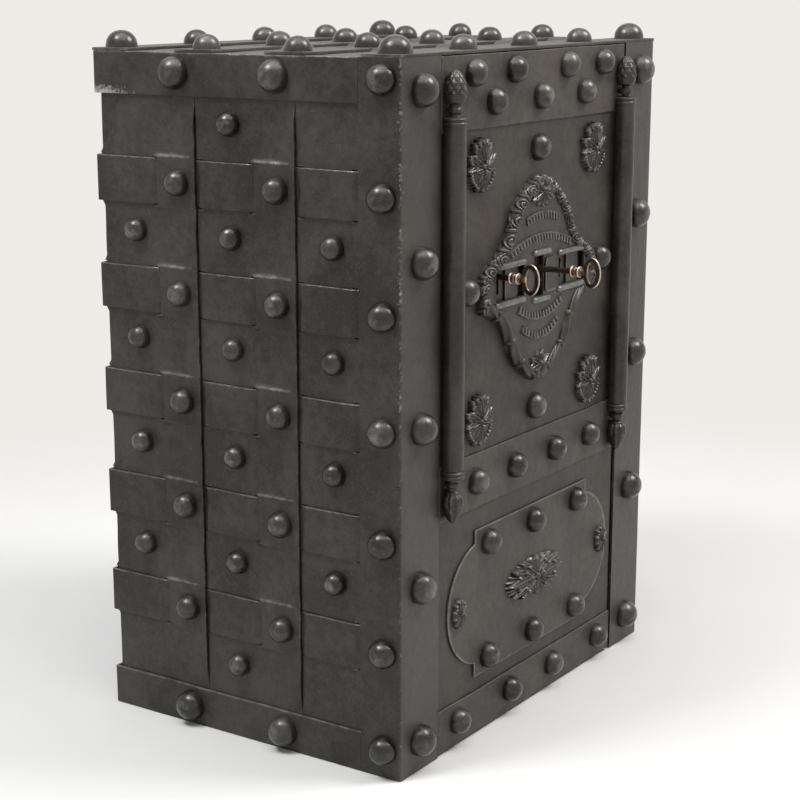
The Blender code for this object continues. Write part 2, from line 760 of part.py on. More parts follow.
def top_skin():
    """The top sheet with two woven bands, under a plain band at the front and the rear."""
    modules = top_modules()
    half = BAND / 2 + EASE
    columns = [SKIN, WIDTH - SKIN]
    opens = []
    prouds = []
    for k, (left, right, slit) in enumerate(modules):
        opens.append((slit - SLIT / 2, slit + SLIT / 2))
        prouds.append((slit + SLIT / 2, min(right, WIDTH - SKIN)))
        if k < len(modules) - 1:
            opens.append((right, right + SLIT))
            columns.append(right)
    for a, b in opens:
        columns += [a, b]

    def in_row(z):
        return any(abs(z - row) <= half + SEAT for row in TOP_ROWS)

    def is_open(u, z):
        return in_row(z) and any(a < u < b for a, b in opens)

    def is_proud(u, z):
        return in_row(z) and any(a - SEAT <= u <= b + SEAT for a, b in prouds)

    front_edge = BOARD_FRONT + SEAT
    rear_edge = DEPTH - SKIN
    rows = row_heights(TOP_ROWS, half)
    bm = woven_sheet(columns, rows, front_edge, rear_edge, is_open, is_proud)
    sheet = make("top_plate", bm, iron("top_plate"), TOP_FACE)
    studs = [TOP_STUD_SIDE + TOP_STUD_PITCH * k for k in range(TOP_STUDS)]
    fuse_studs(sheet, [((u, 0, z), OUT, False) for u in studs[1:] for z in TOP_ROWS])

    path = []
    for left, right, slit in modules:
        path += [(slit - SLIT / 2 + SEAT, 0), (slit + SLIT / 2 - SEAT, SKIN)]
        path += [(right + SEAT, SKIN), (right + SLIT - SEAT, 0)]
    path = [(0, 0)] + path[:-2] + [(WIDTH - SKIN - SLIT, SKIN)]
    for k, row in enumerate(TOP_ROWS):
        name = "top_woven_band_%d" % (k + 1)
        bm = bmesh.new()
        inner = [(u, depth + PLATE) for u, depth in path]
        ribbon(bm, path, inner, row - BAND / 2, row + BAND / 2)
        band = make(name, bm, iron(name), TOP_FACE)
        fuse_studs(band, [((studs[0], 0, row), OUT, False)])

    edges = {"top_front_band": (0, TOP_BAND_WIDTH), "top_rear_band": (DEPTH - TOP_BAND_WIDTH, DEPTH)}
    for name, (low, high) in edges.items():
        band = make(name, box((0, 0, low), (WIDTH, PLATE, high)), iron(name), TOP_FACE)
        middle = TOP_STUD_END if low == 0 else DEPTH - TOP_STUD_END
        corners = (studs[0], studs[-1])
        fuse_studs(band, [((u, 0, middle), OUT, u in corners) for u in studs])


def carcass():
    """Oak boards of the case, its front posts, its shelf and the iron sheet under it."""
    side = WIDTH / 2 - WOOD_DEPTH
    foot = BASE_PLATE + SEAT
    rear = BACK - WOOD_DEPTH
    wall_front = FRONT + PLATE + SEAT
    case_front = FRONT + BOARD_FRONT
    post_front = FRONT + POST_FRONT
    inner = WALL_IN - SEAT
    boards = {
        "left_wall": ((-side, wall_front, foot), (-WALL_IN, rear, CASE_TOP)),
        "right_wall": ((WALL_IN, wall_front, foot), (side, rear, CASE_TOP)),
        "back_wall": ((-inner, rear - BOARD, foot), (inner, rear, CASE_TOP)),
        "roof_board": ((-inner, case_front, ROOF_UNDER), (inner, rear - BOARD - SEAT, CASE_TOP)),
        "floor_board": ((-inner, case_front, foot), (inner, rear - BOARD - SEAT, FLOOR_TOP)),
        "left_post": ((-inner, post_front, FLOOR_TOP + SEAT),
                      (-OPENING + POST_LAP, post_front + POST_DEPTH, ROOF_UNDER - SEAT)),
        "right_post": ((OPENING, post_front, FLOOR_TOP + SEAT),
                       (inner, post_front + POST_DEPTH, ROOF_UNDER - SEAT)),
        "shelf": ((-inner, FRONT + SHELF_FRONT, SHELF_HEIGHT),
                  (inner, rear - BOARD - SEAT, SHELF_HEIGHT + SHELF_BOARD)),
        "shelf_cleat_left": ((-inner, FRONT + SHELF_FRONT, SHELF_HEIGHT - SEAT - CLEAT),
                             (-inner + CLEAT, rear - BOARD - SEAT, SHELF_HEIGHT - SEAT)),
        "shelf_cleat_right": ((inner - CLEAT, FRONT + SHELF_FRONT, SHELF_HEIGHT - SEAT - CLEAT),
                              (inner, rear - BOARD - SEAT, SHELF_HEIGHT - SEAT)),
    }
    for name, (low, high) in boards.items():
        make(name, box(low, high), oak(name))
    sheet = box((-side, case_front, 0), (side, rear, BASE_PLATE))
    make("bottom_plate", sheet, iron("bottom_plate"))


def hinge_arm(name, height):
    """A strap from the case whose eye goes round a neck of the hinge column."""
    hole = COLUMN_NECK + ARM_CLEAR
    eye = hole + ARM_EYE_WALL
    bar_right = OPENING - SEAT
    bar_left = bar_right - ARM_BAR
    low, high = height - ARM_HEIGHT / 2, height + ARM_HEIGHT / 2
    bm = bmesh.new()
    frame = Matrix.Translation((COLUMN_X, HINGE_Y, 0))
    add_turned(bm, [(eye, low), (eye, high)], COLUMN_SIDES, frame)
    piece = make(name, bm, iron(name))
    strap = bmesh.new()
    middle = (hole + eye) / 2
    half = ARM_BAR / 2
    bend = [(COLUMN_X + middle, HINGE_Y - half), (bar_right, HINGE_Y - half),
            (bar_right, CORE_BACK), (bar_left, CORE_BACK), (bar_left, HINGE_Y + half),
            (COLUMN_X + middle, HINGE_Y + half)]
    add_prism(strap, bend, low, high, upright)
    combine(piece, strap, "UNION", "strap")
    bore = bmesh.new()
    add_turned(bore, [(hole, low - OVERRUN), (hole, high + OVERRUN)], COLUMN_SIDES, frame)
    combine(piece, bore, "DIFFERENCE", "bore")


def column_profile(bead):
    """Radii and heights of a column from its pine-cone top to its leaf bud."""
    cone = CONE_TOP - CONE_FOOT
    bud = BUD_TOP - BUD_FOOT
    upper = (CONE_FOOT + UPPER_RING_TOP) / 2
    lower = (LOWER_RING_FOOT + BUD_TOP) / 2
    ring_share, groove_share = 0.25, 0.88

    def double_ring(top, foot):
        step = (top - foot) * ring_share
        groove = COLUMN_RING * groove_share
        return [(groove, top), (COLUMN_RING, top - step), (groove, (top + foot) / 2),
                (COLUMN_RING, foot + step), (groove, foot)]

    def neck(middle, above, below):
        points = [(COLUMN_NECK, above)]
        if bead:
            points += [(COLUMN_NECK, middle + NECK_BEAD_HALF), (NECK_BEAD, middle),
                       (COLUMN_NECK, middle - NECK_BEAD_HALF)]
        return points + [(COLUMN_NECK, below)]

    cone_shares = ((0.45, 0.90), (0.90, 0.58), (1.0, 0.26), (0.80, 0.0))
    bud_shares = ((0.76, 1.0), (1.0, 0.72), (0.70, 0.30))
    profile = [(0, CONE_TOP)]
    profile += [(CONE_RADIUS * r, CONE_FOOT + cone * h) for r, h in cone_shares]
    profile += neck(upper, CONE_FOOT, UPPER_RING_TOP)
    profile += double_ring(UPPER_RING_TOP, UPPER_RING_FOOT)
    profile += double_ring(LOWER_RING_TOP, LOWER_RING_FOOT)
    profile += neck(lower, LOWER_RING_FOOT, BUD_TOP)
    profile += [(BUD_RADIUS * r, BUD_FOOT + bud * h) for r, h in bud_shares]
    profile.append((0, BUD_FOOT))
    return profile


def column(name, x, bead, door):
    """A cast column, cut flat where it lies on the door's bands."""
    bm = bmesh.new()
    add_turned(bm, column_profile(bead), COLUMN_SIDES)
    place = Matrix.Translation((x, HINGE_Y, 0))
    piece = make(name, bm, iron(name, CAST_IRON), place, door)
    reach = COLUMN_RING + OVERRUN
    flat = box((-reach, COLUMN_OUT - SEAT, 0), (reach, reach, HEIGHT))
    combine(piece, flat, "DIFFERENCE", "flat")
    smooth(piece)


def cut_keyholes(piece):
    """Cut the three keyholes: a round hole for the shank over a slot for the bit."""
    half = BIT_THICK / 2 + BIT_EASE
    radius = (KEY_SHANK_RADIUS + KEY_EASE) / math.cos(math.pi / KEYHOLE_SIDES)
    rounds = bmesh.new()
    slots = bmesh.new()
    for x in (LEFT_KEY_X, MIDDLE_KEY_X, RIGHT_KEY_X):
        along = Matrix.Translation((x, FRONT, KEY_Z)) @ Matrix.Rotation(-math.pi / 2, 4, "X")
        add_turned(rounds, [(radius, 0), (radius, SHEET_BACK + OVERRUN - FRONT)], KEYHOLE_SIDES, along)
        add_box(slots, (x - half, FRONT, KEY_Z - KEYHOLE_DOWN), (x + half, SHEET_BACK + OVERRUN, KEY_Z))
    combine(piece, rounds, "DIFFERENCE", "shank_holes")
    combine(piece, slots, "DIFFERENCE", "bit_slots")


def door_leaf(door):
    """The door's face plate, bands, oak core and inner sheet."""
    face_front = FACE_BACK - PLATE
    face = make("door_face_plate", box((DOOR_LEFT, face_front, DOOR_FOOT_GAP),
                                       (DOOR_RIGHT, FACE_BACK, DOOR_TOP)),
                iron("door_face_plate", DOOR_IRON), None, door)
    core_left = DOOR_LEFT + CORE_LEFT_STEP
    low, high = FLOOR_TOP + CORE_END_GAP, ROOF_UNDER - CORE_END_GAP
    core = make("door_core", box((core_left, CORE_FRONT, low), (DOOR_RIGHT, CORE_BACK, high)),
                oak("door_core"), None, door)
    inset = INNER_SHEET_INSET
    sheet_low = (core_left + inset, CORE_BACK + SEAT, low + inset)
    sheet_high = (DOOR_RIGHT - inset, SHEET_BACK, high - inset)
    sheet = make("door_inner_sheet", box(sheet_low, sheet_high), iron("door_inner_sheet"), None, door)
    for piece in (face, sheet):
        cut_keyholes(piece)
    wide = bmesh.new()
    for x in (LEFT_KEY_X, MIDDLE_KEY_X, RIGHT_KEY_X):
        half = CORE_KEYHOLE / 2
        add_box(wide, (x - half, FRONT, KEY_Z - KEYHOLE_DOWN),
                (x + half, SHEET_BACK, KEY_Z + CORE_KEYHOLE_UP))
    combine(core, wide, "DIFFERENCE", "keyholes")
    above = (PANEL_TOP + MEDALLION_Z + MEDALLION_HALF_HEIGHT) / 2
    below = (LOWER_BAND_HIGH + MEDALLION_Z - MEDALLION_HALF_HEIGHT) / 2
    beside = MEDALLION_HALF_WIDTH + MEDALLION_SIDE_ROOM * PANEL_STUD_SHARE
    level = MEDALLION_Z + PANEL_STUD_RISE
    places = [(0, above), (0, below), (-beside, level), (beside, level)]
    fuse_studs(face, [((x, face_front, z), OUT, False) for x, z in places])


def door_band(name, low, high, places, door):
    """A flat band across the door with its studs at (x, z) places."""
    front = FRONT
    back = FRONT + DOOR_BAND
    bm = box((DOOR_LEFT, front, low), (DOOR_RIGHT, back, high))
    piece = make(name, bm, iron(name, DOOR_IRON), None, door)
    fuse_studs(piece, [((x, front, z), OUT, False) for x, z in places])


def door_bands(door):
    first = DOOR_TOP - UPPER_STUD_DROP
    upper = [(OPENING * share, first) for share in UPPER_STUD_SHARES]
    upper += [(OPENING * share, first - UPPER_STUD_ROWS) for share in UPPER_STAGGER_SHARES]
    door_band("door_upper_band", PANEL_TOP, DOOR_TOP, upper, door)
    middle = (LOWER_BAND_LOW + LOWER_BAND_HIGH) / 2
    lower = [(OPENING * share, middle) for share in LOWER_STUD_SHARES]
    door_band("door_lower_band", LOWER_BAND_LOW, LOWER_BAND_HIGH, lower, door)
    foot = [(OPENING * share, FOOT_BAND - FOOT_STUD_DROP) for share in FOOT_STUD_SHARES]
    door_band("door_foot_band", DOOR_FOOT_GAP, FOOT_BAND, foot, door)


def cartouche_outline():
    """A rectangle with a round ear at each end, set in by a small step."""
    half_angle = math.asin(EAR_HALF_HEIGHT / EAR_RADIUS)
    points = []
    for side in (1, -1):
        rise = [(side * CARTOUCHE_HALF_WIDTH, -side * CARTOUCHE_HALF_HEIGHT)]
        ear = []
        for k in range(EAR_STEPS + 1):
            angle = -half_angle + 2 * half_angle * k / EAR_STEPS
            x = max(EAR_CENTRE + EAR_RADIUS * math.cos(angle), CARTOUCHE_HALF_WIDTH)
            ear.append((side * x, side * EAR_RADIUS * math.sin(angle)))
        fall = [(side * CARTOUCHE_HALF_WIDTH, side * CARTOUCHE_HALF_HEIGHT)]
        points += rise + ear + fall
    return [(x, CARTOUCHE_MIDDLE + z) for x, z in points]


def add_relief(bm, centre, half_width, half_height, height, lobes, steps):
    """A round leafy boss: lobed rings that rise to a middle, standing out along -Y."""
    ring_shares = ((1.0, 0.0), (1.0, 0.30), (0.80, 0.75), (0.55, 0.60), (0.30, 1.0))
    lobe_share = 0.07
    rings = []
    for k, (spread, rise) in enumerate(ring_shares):
        ring = []
        for n in range(steps):
            angle = math.tau * n / steps
            wave = 1 - lobe_share + lobe_share * math.cos(lobes * angle)
            x = centre[0] + half_width * spread * wave * math.cos(angle)
            z = centre[2] + half_height * spread * wave * math.sin(angle)
            root = LEAF_ROOT if k == 0 else 0
            ring.append(bm.verts.new((x, centre[1] + root * centre[3] - height * rise, z)))
        rings.append(ring)
    for a, b in zip(rings, rings[1:]):
        for n in range(steps):
            m = (n + 1) % steps
            bm.faces.new((a[n], a[m], b[m], b[n]))
    bm.faces.new(rings[0])
    bm.faces.new(rings[-1])


def cartouche(door):
    """The raised cartouche plate with its six studs and two small bosses."""
    bm = bmesh.new()
    face_front = FACE_BACK - PLATE
    back = face_front - SEAT
    front = back - DOOR_BAND
    add_prism(bm, cartouche_outline(), front, back, facing)
    piece = make("cartouche_plate", bm, iron("cartouche_plate", DOOR_IRON), None, door)
    stud_x = CARTOUCHE_HALF_WIDTH - CARTOUCHE_STUD_SIDE
    stud_z = CARTOUCHE_HALF_HEIGHT - CARTOUCHE_STUD_END
    places = [(x, CARTOUCHE_MIDDLE + s * stud_z) for x in (-stud_x, 0, stud_x) for s in (-1, 1)]
    fuse_studs(piece, [((x, front, z), OUT, False) for x, z in places])
    bosses = bmesh.new()
    boss_x = EAR_CENTRE + EAR_RADIUS - BOSS_SIDE
    for x in (-boss_x, boss_x):
        add_relief(bosses, (x, front, BOSS_Z, STUD_ROOT_SHARE), BOSS_RADIUS, BOSS_RADIUS,
                   BOSS_HEIGHT, BOSS_LOBES, 2 * BOSS_LOBES)
    combine(piece, bosses, "UNION", "bosses")
    return front


def ornaments(door, cartouche_front):
    """Four rosettes on the face plate and the leafy oval on the cartouche."""
    face_front = FACE_BACK - PLATE - SEAT
    across = COLUMN_X - ROSETTE_SIDE
    high, low = PANEL_TOP - ROSETTE_DROP, LOWER_BAND_HIGH + ROSETTE_RISE
    spots = {"rosette_upper_left": (-across, high), "rosette_upper_right": (across, high),
             "rosette_lower_left": (-across, low), "rosette_lower_right": (across, low)}
    for name, (x, z) in spots.items():
        bm = bmesh.new()
        add_relief(bm, (0, 0, 0, 0), ROSETTE_RADIUS, ROSETTE_RADIUS, ROSETTE_HEIGHT,
                   ROSETTE_LOBES, 4 * ROSETTE_LOBES)
        place = Matrix.Translation((x, face_front, z))
        smooth(make(name, bm, iron(name, CAST_IRON), place, door))
    bm = bmesh.new()
    add_relief(bm, (0, 0, 0, 0), OVAL_HALF_WIDTH, OVAL_HALF_HEIGHT, OVAL_HEIGHT,
               OVAL_LOBES, 3 * OVAL_LOBES)
    place = Matrix.Translation((0, cartouche_front - SEAT, OVAL_Z))
    smooth(make("cartouche_ornament", bm, iron("cartouche_ornament", CAST_IRON), place, door))


def medallion_outline(inset):
    """The lozenge with curved sides, drawn in by an inset, round its four quarters."""
    wide = MEDALLION_HALF_WIDTH - inset
    tall = MEDALLION_HALF_HEIGHT - inset
    quarter = [(wide * a, tall * b) for a, b in MEDALLION_SHARES]
    first = quarter[:-1]
    second = [(-x, z) for x, z in quarter[:0:-1]]
    third = [(-x, -z) for x, z in quarter[:-1]]
    fourth = [(x, -z) for x, z in quarter[:0:-1]]
    return [(x, MEDALLION_Z + z) for x, z in first + second + third + fourth]


def windows():
    """The key windows: (left, width, height, moulding length)."""
    return [(WINDOW_LEFT, WINDOW_WIDTH, WINDOW_HEIGHT, WINDOW_WIDTH),
            (WINDOW_MIDDLE, MIDDLE_WINDOW_WIDTH, MIDDLE_WINDOW_HEIGHT,
             MEDALLION_HALF_WIDTH * MIDDLE_MOULDING_SHARE),
            (WINDOW_RIGHT, WINDOW_WIDTH, WINDOW_HEIGHT, WINDOW_WIDTH)]


def medallion(door):
    """The cast medallion: a rimmed lozenge with three key windows between half-round bars."""
    back = FACE_BACK - PLATE - SEAT
    surface = back - MEDALLION_PLATE
    bm = bmesh.new()
    add_prism(bm, medallion_outline(0), back - MEDALLION_RIM, back, facing)
    piece = make("medallion", bm, iron("medallion", CAST_IRON), None, door)
    hollow = bmesh.new()
    add_prism(hollow, medallion_outline(RIM_WIDTH), back - MEDALLION_RIM - OVERRUN, surface, facing)
    combine(piece, hollow, "DIFFERENCE", "field")
    holes = bmesh.new()
    channels = bmesh.new()
    bars = bmesh.new()
    for left, width, height, moulding in windows():
        low, high = WINDOW_Z - height / 2, WINDOW_Z + height / 2
        add_box(holes, (left, surface - OVERRUN, low), (left + width, back + OVERRUN, high))
        if width == WINDOW_WIDTH:
            add_box(channels, (left - CHANNEL_LIP, back - CHANNEL_DEPTH, low - CHANNEL_LIP),
                    (left + width + CHANNEL_LIP, back + OVERRUN, high + CHANNEL_LIP))
        for z in (low - MOULDING_RADIUS, high + MOULDING_RADIUS):
            along = Matrix.Translation((left, surface, z)) @ Matrix.Rotation(math.pi / 2, 4, "Y")
            add_turned(bars, [(MOULDING_RADIUS, 0), (MOULDING_RADIUS, moulding)],
                       MOULDING_SIDES, along)
    combine(piece, bars, "UNION", "bars")
    combine(piece, holes, "DIFFERENCE", "windows")
    combine(piece, channels, "DIFFERENCE", "channels")


def covers(door):
    """The sliding covers beside the keyholes; each slides left over its keyhole."""
    back = FACE_BACK - PLATE - SEAT
    surface = back - MEDALLION_PLATE
    tall = WINDOW_HEIGHT + CHANNEL_LIP
    for name, window in (("left_key_cover", WINDOW_LEFT), ("right_key_cover", WINDOW_RIGHT)):
        left = window + MEDALLION_HALF_WIDTH * COVER_REST_SHARE
        low = (left, back - COVER_PLATE, WINDOW_Z - tall / 2)
        high = (left + COVER_WIDTH, back, WINDOW_Z + tall / 2)
        make(name, box(low, high), iron(name, CAST_IRON), None, door)
    left = WINDOW_MIDDLE + MEDALLION_HALF_WIDTH * MIDDLE_COVER_REST_SHARE
    half = MIDDLE_WINDOW_HEIGHT / 2 - MIDDLE_COVER_EASE
    low = (left, surface - SEAT - COVER_PLATE, WINDOW_Z - half)
    high = (left + COVER_WIDTH, surface - SEAT, WINDOW_Z + half)
    make("middle_key_cover", box(low, high), iron("middle_key_cover", CAST_IRON), None, door)


def key(name, x, pulled, door):
    """A key on its axis: bit, shank, turned collar and pierced oval bow, pointing along -Y."""
    tip = LOCK_FRONT + LOCK_DEPTH - LOCK_WALL - KEY_TIP_CLEAR - pulled
    place = Matrix.Translation((x, tip, KEY_Z))
    along = Matrix.Rotation(math.pi / 2, 4, "X")
    collar_start = KEY_LENGTH - COLLAR_FROM_BOW - COLLAR_LENGTH
    collar_end = collar_start + COLLAR_LENGTH
    neck_share, waist_share = 1.25, 0.75
    profile = [(KEY_SHANK_RADIUS, 0), (KEY_SHANK_RADIUS, collar_start)]
    profile += [(COLLAR_RADIUS, collar_start),
                (COLLAR_RADIUS * waist_share, collar_start + COLLAR_LENGTH / 2),
                (COLLAR_RADIUS, collar_end)]
    profile += [(KEY_SHANK_RADIUS * neck_share, collar_end), (KEY_SHANK_RADIUS, KEY_LENGTH)]
    bm = bmesh.new()
    add_turned(bm, profile, KEY_SIDES, along)
    piece = make(name, bm, steel(name, KEY_STEEL), place, door)
    half = BIT_THICK / 2
    bit = box((-half, -BIT_LENGTH, -BIT_REACH), (half, -KEY_SHANK_RADIUS, -KEY_SHANK_RADIUS / 2))
    combine(piece, bit, "UNION", "bit")
    bow = bmesh.new()
    centre = -(KEY_LENGTH + BOW_HALF_LENGTH)
    rings = []
    for k in range(BOW_STEPS):
        angle = math.tau * k / BOW_STEPS
        middle = Vector((0, centre + BOW_HALF_LENGTH * math.cos(angle), BOW_HALF_HEIGHT * math.sin(angle)))
        out = Vector((0, math.cos(angle), math.sin(angle)))
        side = Vector((1, 0, 0))
        ring = []
        for n in range(BOW_SIDES):
            turn = math.tau * n / BOW_SIDES
            ring.append(middle + out * BOW_BAND * math.cos(turn) + side * BOW_THICK * math.sin(turn))
        rings.append([bow.verts.new(p) for p in ring])
    for k, a in enumerate(rings):
        b = rings[(k + 1) % BOW_STEPS]
        for n in range(BOW_SIDES):
            m = (n + 1) % BOW_SIDES
            bow.faces.new((a[n], a[m], b[m], b[n]))
    combine(piece, bow, "UNION", "bow")


def bolt_levels():
    """Heights of the main bolt's three heads and of the two single bolts."""
    heads = [KEY_Z + MAIN_BOLT_SPREAD * k for k in (-1, 0, 1)]
    return heads, KEY_Z - MIDDLE_BOLT_DROP, KEY_Z + RIGHT_BOLT_RISE + SIDE_BOLT_HEIGHT / 2


def lock_case(door):
    """The lock case: an iron tray against the inner sheet, slit at its left for the bolts."""
    back = LOCK_FRONT + LOCK_DEPTH
    bm = box((LOCK_LEFT, LOCK_FRONT, LOCK_LOW), (LOCK_RIGHT, back, LOCK_HIGH))
    piece = make("lock_case", bm, iron("lock_case"), None, door)
    wall = LOCK_WALL
    hollow = bmesh.new()
    add_box(hollow, (LOCK_LEFT + wall, LOCK_FRONT - OVERRUN, LOCK_LOW + wall),
            (LOCK_RIGHT - wall, back - wall, LOCK_HIGH - wall))
    combine(piece, hollow, "DIFFERENCE", "hollow")
    heads, middle_z, right_z = bolt_levels()
    slits = bmesh.new()
    for z in heads:
        half = MAIN_BOLT_HEIGHT / 2 + BOLT_SLACK
        start = LOCK_FRONT + BOLT_BACK
        add_box(slits, (LOCK_LEFT - OVERRUN, start - BOLT_SLACK, z - half),
                (LOCK_LEFT + wall + OVERRUN, start + MAIN_BOLT_THICK + BOLT_SLACK, z + half))
    for z in (middle_z, right_z):
        half = SIDE_BOLT_HEIGHT / 2 + BOLT_SLACK
        start = LOCK_FRONT + SIDE_BOLT_BACK
        add_box(slits, (LOCK_LEFT - OVERRUN, start - BOLT_SLACK, z - half),
                (LOCK_LEFT + wall + OVERRUN, start + SIDE_BOLT_THICK + BOLT_SLACK, z + half))
    combine(piece, slits, "DIFFERENCE", "slits")


def bolts(door):
    """The three-headed main bolt on its bar, and the two single bolts of the other locks."""
    heads, middle_z, right_z = bolt_levels()
    start = LOCK_FRONT + BOLT_BACK
    half = MAIN_BOLT_HEIGHT / 2
    bar = box((BAR_X, start, heads[0] - half), (BAR_X + BAR_WIDTH, start + BAR_THICK, heads[-1] + half))
    main = make("main_bolt", bar, steel("main_bolt"), None, door)
    parts = bmesh.new()
    for z in heads:
        add_box(parts, (BOLT_TIP, start, z - half),
                (BAR_X + BAR_WIDTH / 2, start + MAIN_BOLT_THICK, z + half))
    add_box(parts, (BAR_X + BAR_WIDTH / 2, start, KEY_Z + TAIL_LOW),
            (TAIL_END, start + BAR_THICK, KEY_Z + TAIL_LOW + TAIL_HEIGHT))
    combine(main, parts, "UNION", "heads")
    start = LOCK_FRONT + SIDE_BOLT_BACK
    half = SIDE_BOLT_HEIGHT / 2
    for name, x, z in (("middle_bolt", MIDDLE_KEY_X, middle_z), ("right_bolt", RIGHT_KEY_X, right_z)):
        end = x + SIDE_BOLT_PAST_KEY
        bm = box((BOLT_TIP, start, z - half), (end, start + SIDE_BOLT_THICK, z + half))
        make(name, bm, steel(name), None, door)


def door_empty():
    """The hinge axis, down the middle of the right column."""
    axis = bpy.data.objects.new("door_axis", None)
    axis.location = (COLUMN_X, HINGE_Y, 0)
    bpy.context.scene.collection.objects.link(axis)
    return axis


carcass()
side_skin("left", LEFT_FACE, False)
side_skin("right", RIGHT_FACE, True)
back_skin()
side_bands()
corner_plate("left_corner_plate", -1)
corner_plate("right_corner_plate", 1)
top_skin()
hinge_arm("upper_hinge_arm", (CONE_FOOT + UPPER_RING_TOP) / 2)
hinge_arm("lower_hinge_arm", (LOWER_RING_FOOT + BUD_TOP) / 2)

door_axis = door_empty()
door_leaf(door_axis)
door_bands(door_axis)
ornaments(door_axis, cartouche(door_axis))
column("left_column", -COLUMN_X, True, door_axis)
column("hinge_column", COLUMN_X, False, door_axis)
medallion(door_axis)
covers(door_axis)
lock_case(door_axis)
bolts(door_axis)
key("left_key", LEFT_KEY_X, 0, door_axis)
key("middle_key", MIDDLE_KEY_X, KEY_PULLED_OUT, door_axis)
bpy.context.view_layer.update()
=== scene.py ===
"""Looks of the studded iron strongbox: woven strapwork, a columned door and a cast key medallion."""
import math

import bpy
import numpy as np
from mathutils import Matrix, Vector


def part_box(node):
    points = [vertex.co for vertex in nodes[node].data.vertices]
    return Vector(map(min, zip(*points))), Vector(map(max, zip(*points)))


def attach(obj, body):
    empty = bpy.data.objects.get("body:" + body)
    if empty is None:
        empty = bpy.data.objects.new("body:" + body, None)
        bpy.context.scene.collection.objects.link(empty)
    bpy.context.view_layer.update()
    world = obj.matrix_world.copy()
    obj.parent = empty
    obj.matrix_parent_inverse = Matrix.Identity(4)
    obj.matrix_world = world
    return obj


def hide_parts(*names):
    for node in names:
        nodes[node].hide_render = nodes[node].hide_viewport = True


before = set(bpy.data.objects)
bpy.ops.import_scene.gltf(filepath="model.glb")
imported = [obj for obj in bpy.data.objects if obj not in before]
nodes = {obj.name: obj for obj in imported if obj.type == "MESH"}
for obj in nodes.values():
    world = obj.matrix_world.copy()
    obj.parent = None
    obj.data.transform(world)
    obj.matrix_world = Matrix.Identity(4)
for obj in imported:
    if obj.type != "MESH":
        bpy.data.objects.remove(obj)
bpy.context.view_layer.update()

# Camera, floor and light. The camera stands left of the door, a little over the top's
# height. The floor is a plain pale disc, lit by a wide soft ceiling and two soft sides.
FRAME_PIXELS, FOCAL_PIXELS, LOOK_X, LOOK_Y, SENSOR = 800, 1821, 369, 413, 36.0
PALE = (0.862, 0.832, 0.800, 1.0)

scene = bpy.context.scene
camera_data = bpy.data.cameras.new("camera")
camera = bpy.data.objects.new("camera", camera_data)
scene.collection.objects.link(camera)
camera.location = (-2.330, -1.567, 1.096)
camera.rotation_euler = [math.radians(a) for a in (76.54, 0.21, -55.50)]
camera_data.sensor_width = SENSOR
camera_data.lens = FOCAL_PIXELS * SENSOR / FRAME_PIXELS
camera_data.shift_x = (FRAME_PIXELS / 2 - LOOK_X) / FRAME_PIXELS
camera_data.shift_y = (LOOK_Y - FRAME_PIXELS / 2) / FRAME_PIXELS
camera_data.clip_end = 200.0
scene.camera = camera
scene.view_settings.view_transform = "Standard"


def add_node(tree, kind, links=None, **settings):
    """A shader node: settings are its properties, links give inputs a socket or a value."""
    node = tree.nodes.new("ShaderNode" + kind)
    for key, value in settings.items():
        setattr(node, key, value)
    for key, value in (links or {}).items():
        if isinstance(value, bpy.types.NodeSocket):
            tree.links.new(value, node.inputs[key])
        else:
            node.inputs[key].default_value = value
    return node


def here(tree):
    """A place on the piece, in metres."""
    return add_node(tree, "TexCoord").outputs["Object"]


def noise(tree, place, scale, detail, **more):
    """Fractal noise of a scale and a number of octaves."""
    links = {"Vector": place, "Scale": scale, "Detail": detail, **more}
    return add_node(tree, "TexNoise", links).outputs[0]


def reckon(tree, operation, *values, clamp=False):
    """One sum on up to three values."""
    node = add_node(tree, "Math", dict(enumerate(values)), operation=operation, use_clamp=clamp)
    return node.outputs[0]


def remap(tree, value, low, high, to_low=0.0, to_high=1.0):
    """A value drawn out from one range to another, held at its ends."""
    links = {"Value": value, "From Min": low, "From Max": high, "To Min": to_low, "To Max": to_high}
    return add_node(tree, "MapRange", links).outputs[0]


def blend(tree, share, under, over, way="MIX"):
    """One colour laid over another."""
    node = add_node(tree, "Mix", {0: share, 6: under, 7: over}, data_type="RGBA", blend_type=way)
    return node.outputs[2]


def new_finish(name):
    """A material with its tree and its shader."""
    material = bpy.data.materials.new(name)
    material.use_nodes = True
    return material, material.node_tree, material.node_tree.nodes["Principled BSDF"]


def seen_straight(tree):
    """1 for rays from the eye or off a gloss, 0 for those that light the object."""
    rays = add_node(tree, "LightPath").outputs
    return reckon(tree, "MAXIMUM", rays["Is Camera Ray"], rays["Is Glossy Ray"])


def grey(level):
    """A faintly warm grey of one level."""
    return (level, level, level * 0.985, 1.0)


def grid_quads(rows, columns, around=False, back=False):
    """Corners of a grid's cells, as (rows, columns, 4): around closes each row into a ring, and
    back joins the last row to the first."""
    index = np.arange(rows * columns).reshape(rows, columns)
    if back:
        index = np.vstack([index, index[:1]])
    if around:
        index = np.hstack([index, index[:, :1]])
    return np.stack([index[:-1, :-1], index[1:, :-1], index[1:, 1:], index[:-1, 1:]], -1)


def floor_disc(radius, rings, sides):
    """A flat disc: radius times the square of the ring share, turned about Z."""
    share = np.linspace(0.02, 1.0, rings)[:, None] ** 2
    turn = np.linspace(0, math.tau, sides, endpoint=False)[None, :]
    x, y = radius * share * np.cos(turn), radius * share * np.sin(turn)
    points = np.stack([x, y, np.zeros_like(x)], -1).reshape(-1, 3)
    faces = grid_quads(rings, sides, around=True).reshape(-1, 4).tolist() + [list(range(sides))]
    mesh = bpy.data.meshes.new("floor")
    mesh.from_pydata(points.tolist(), [], faces)
    return mesh


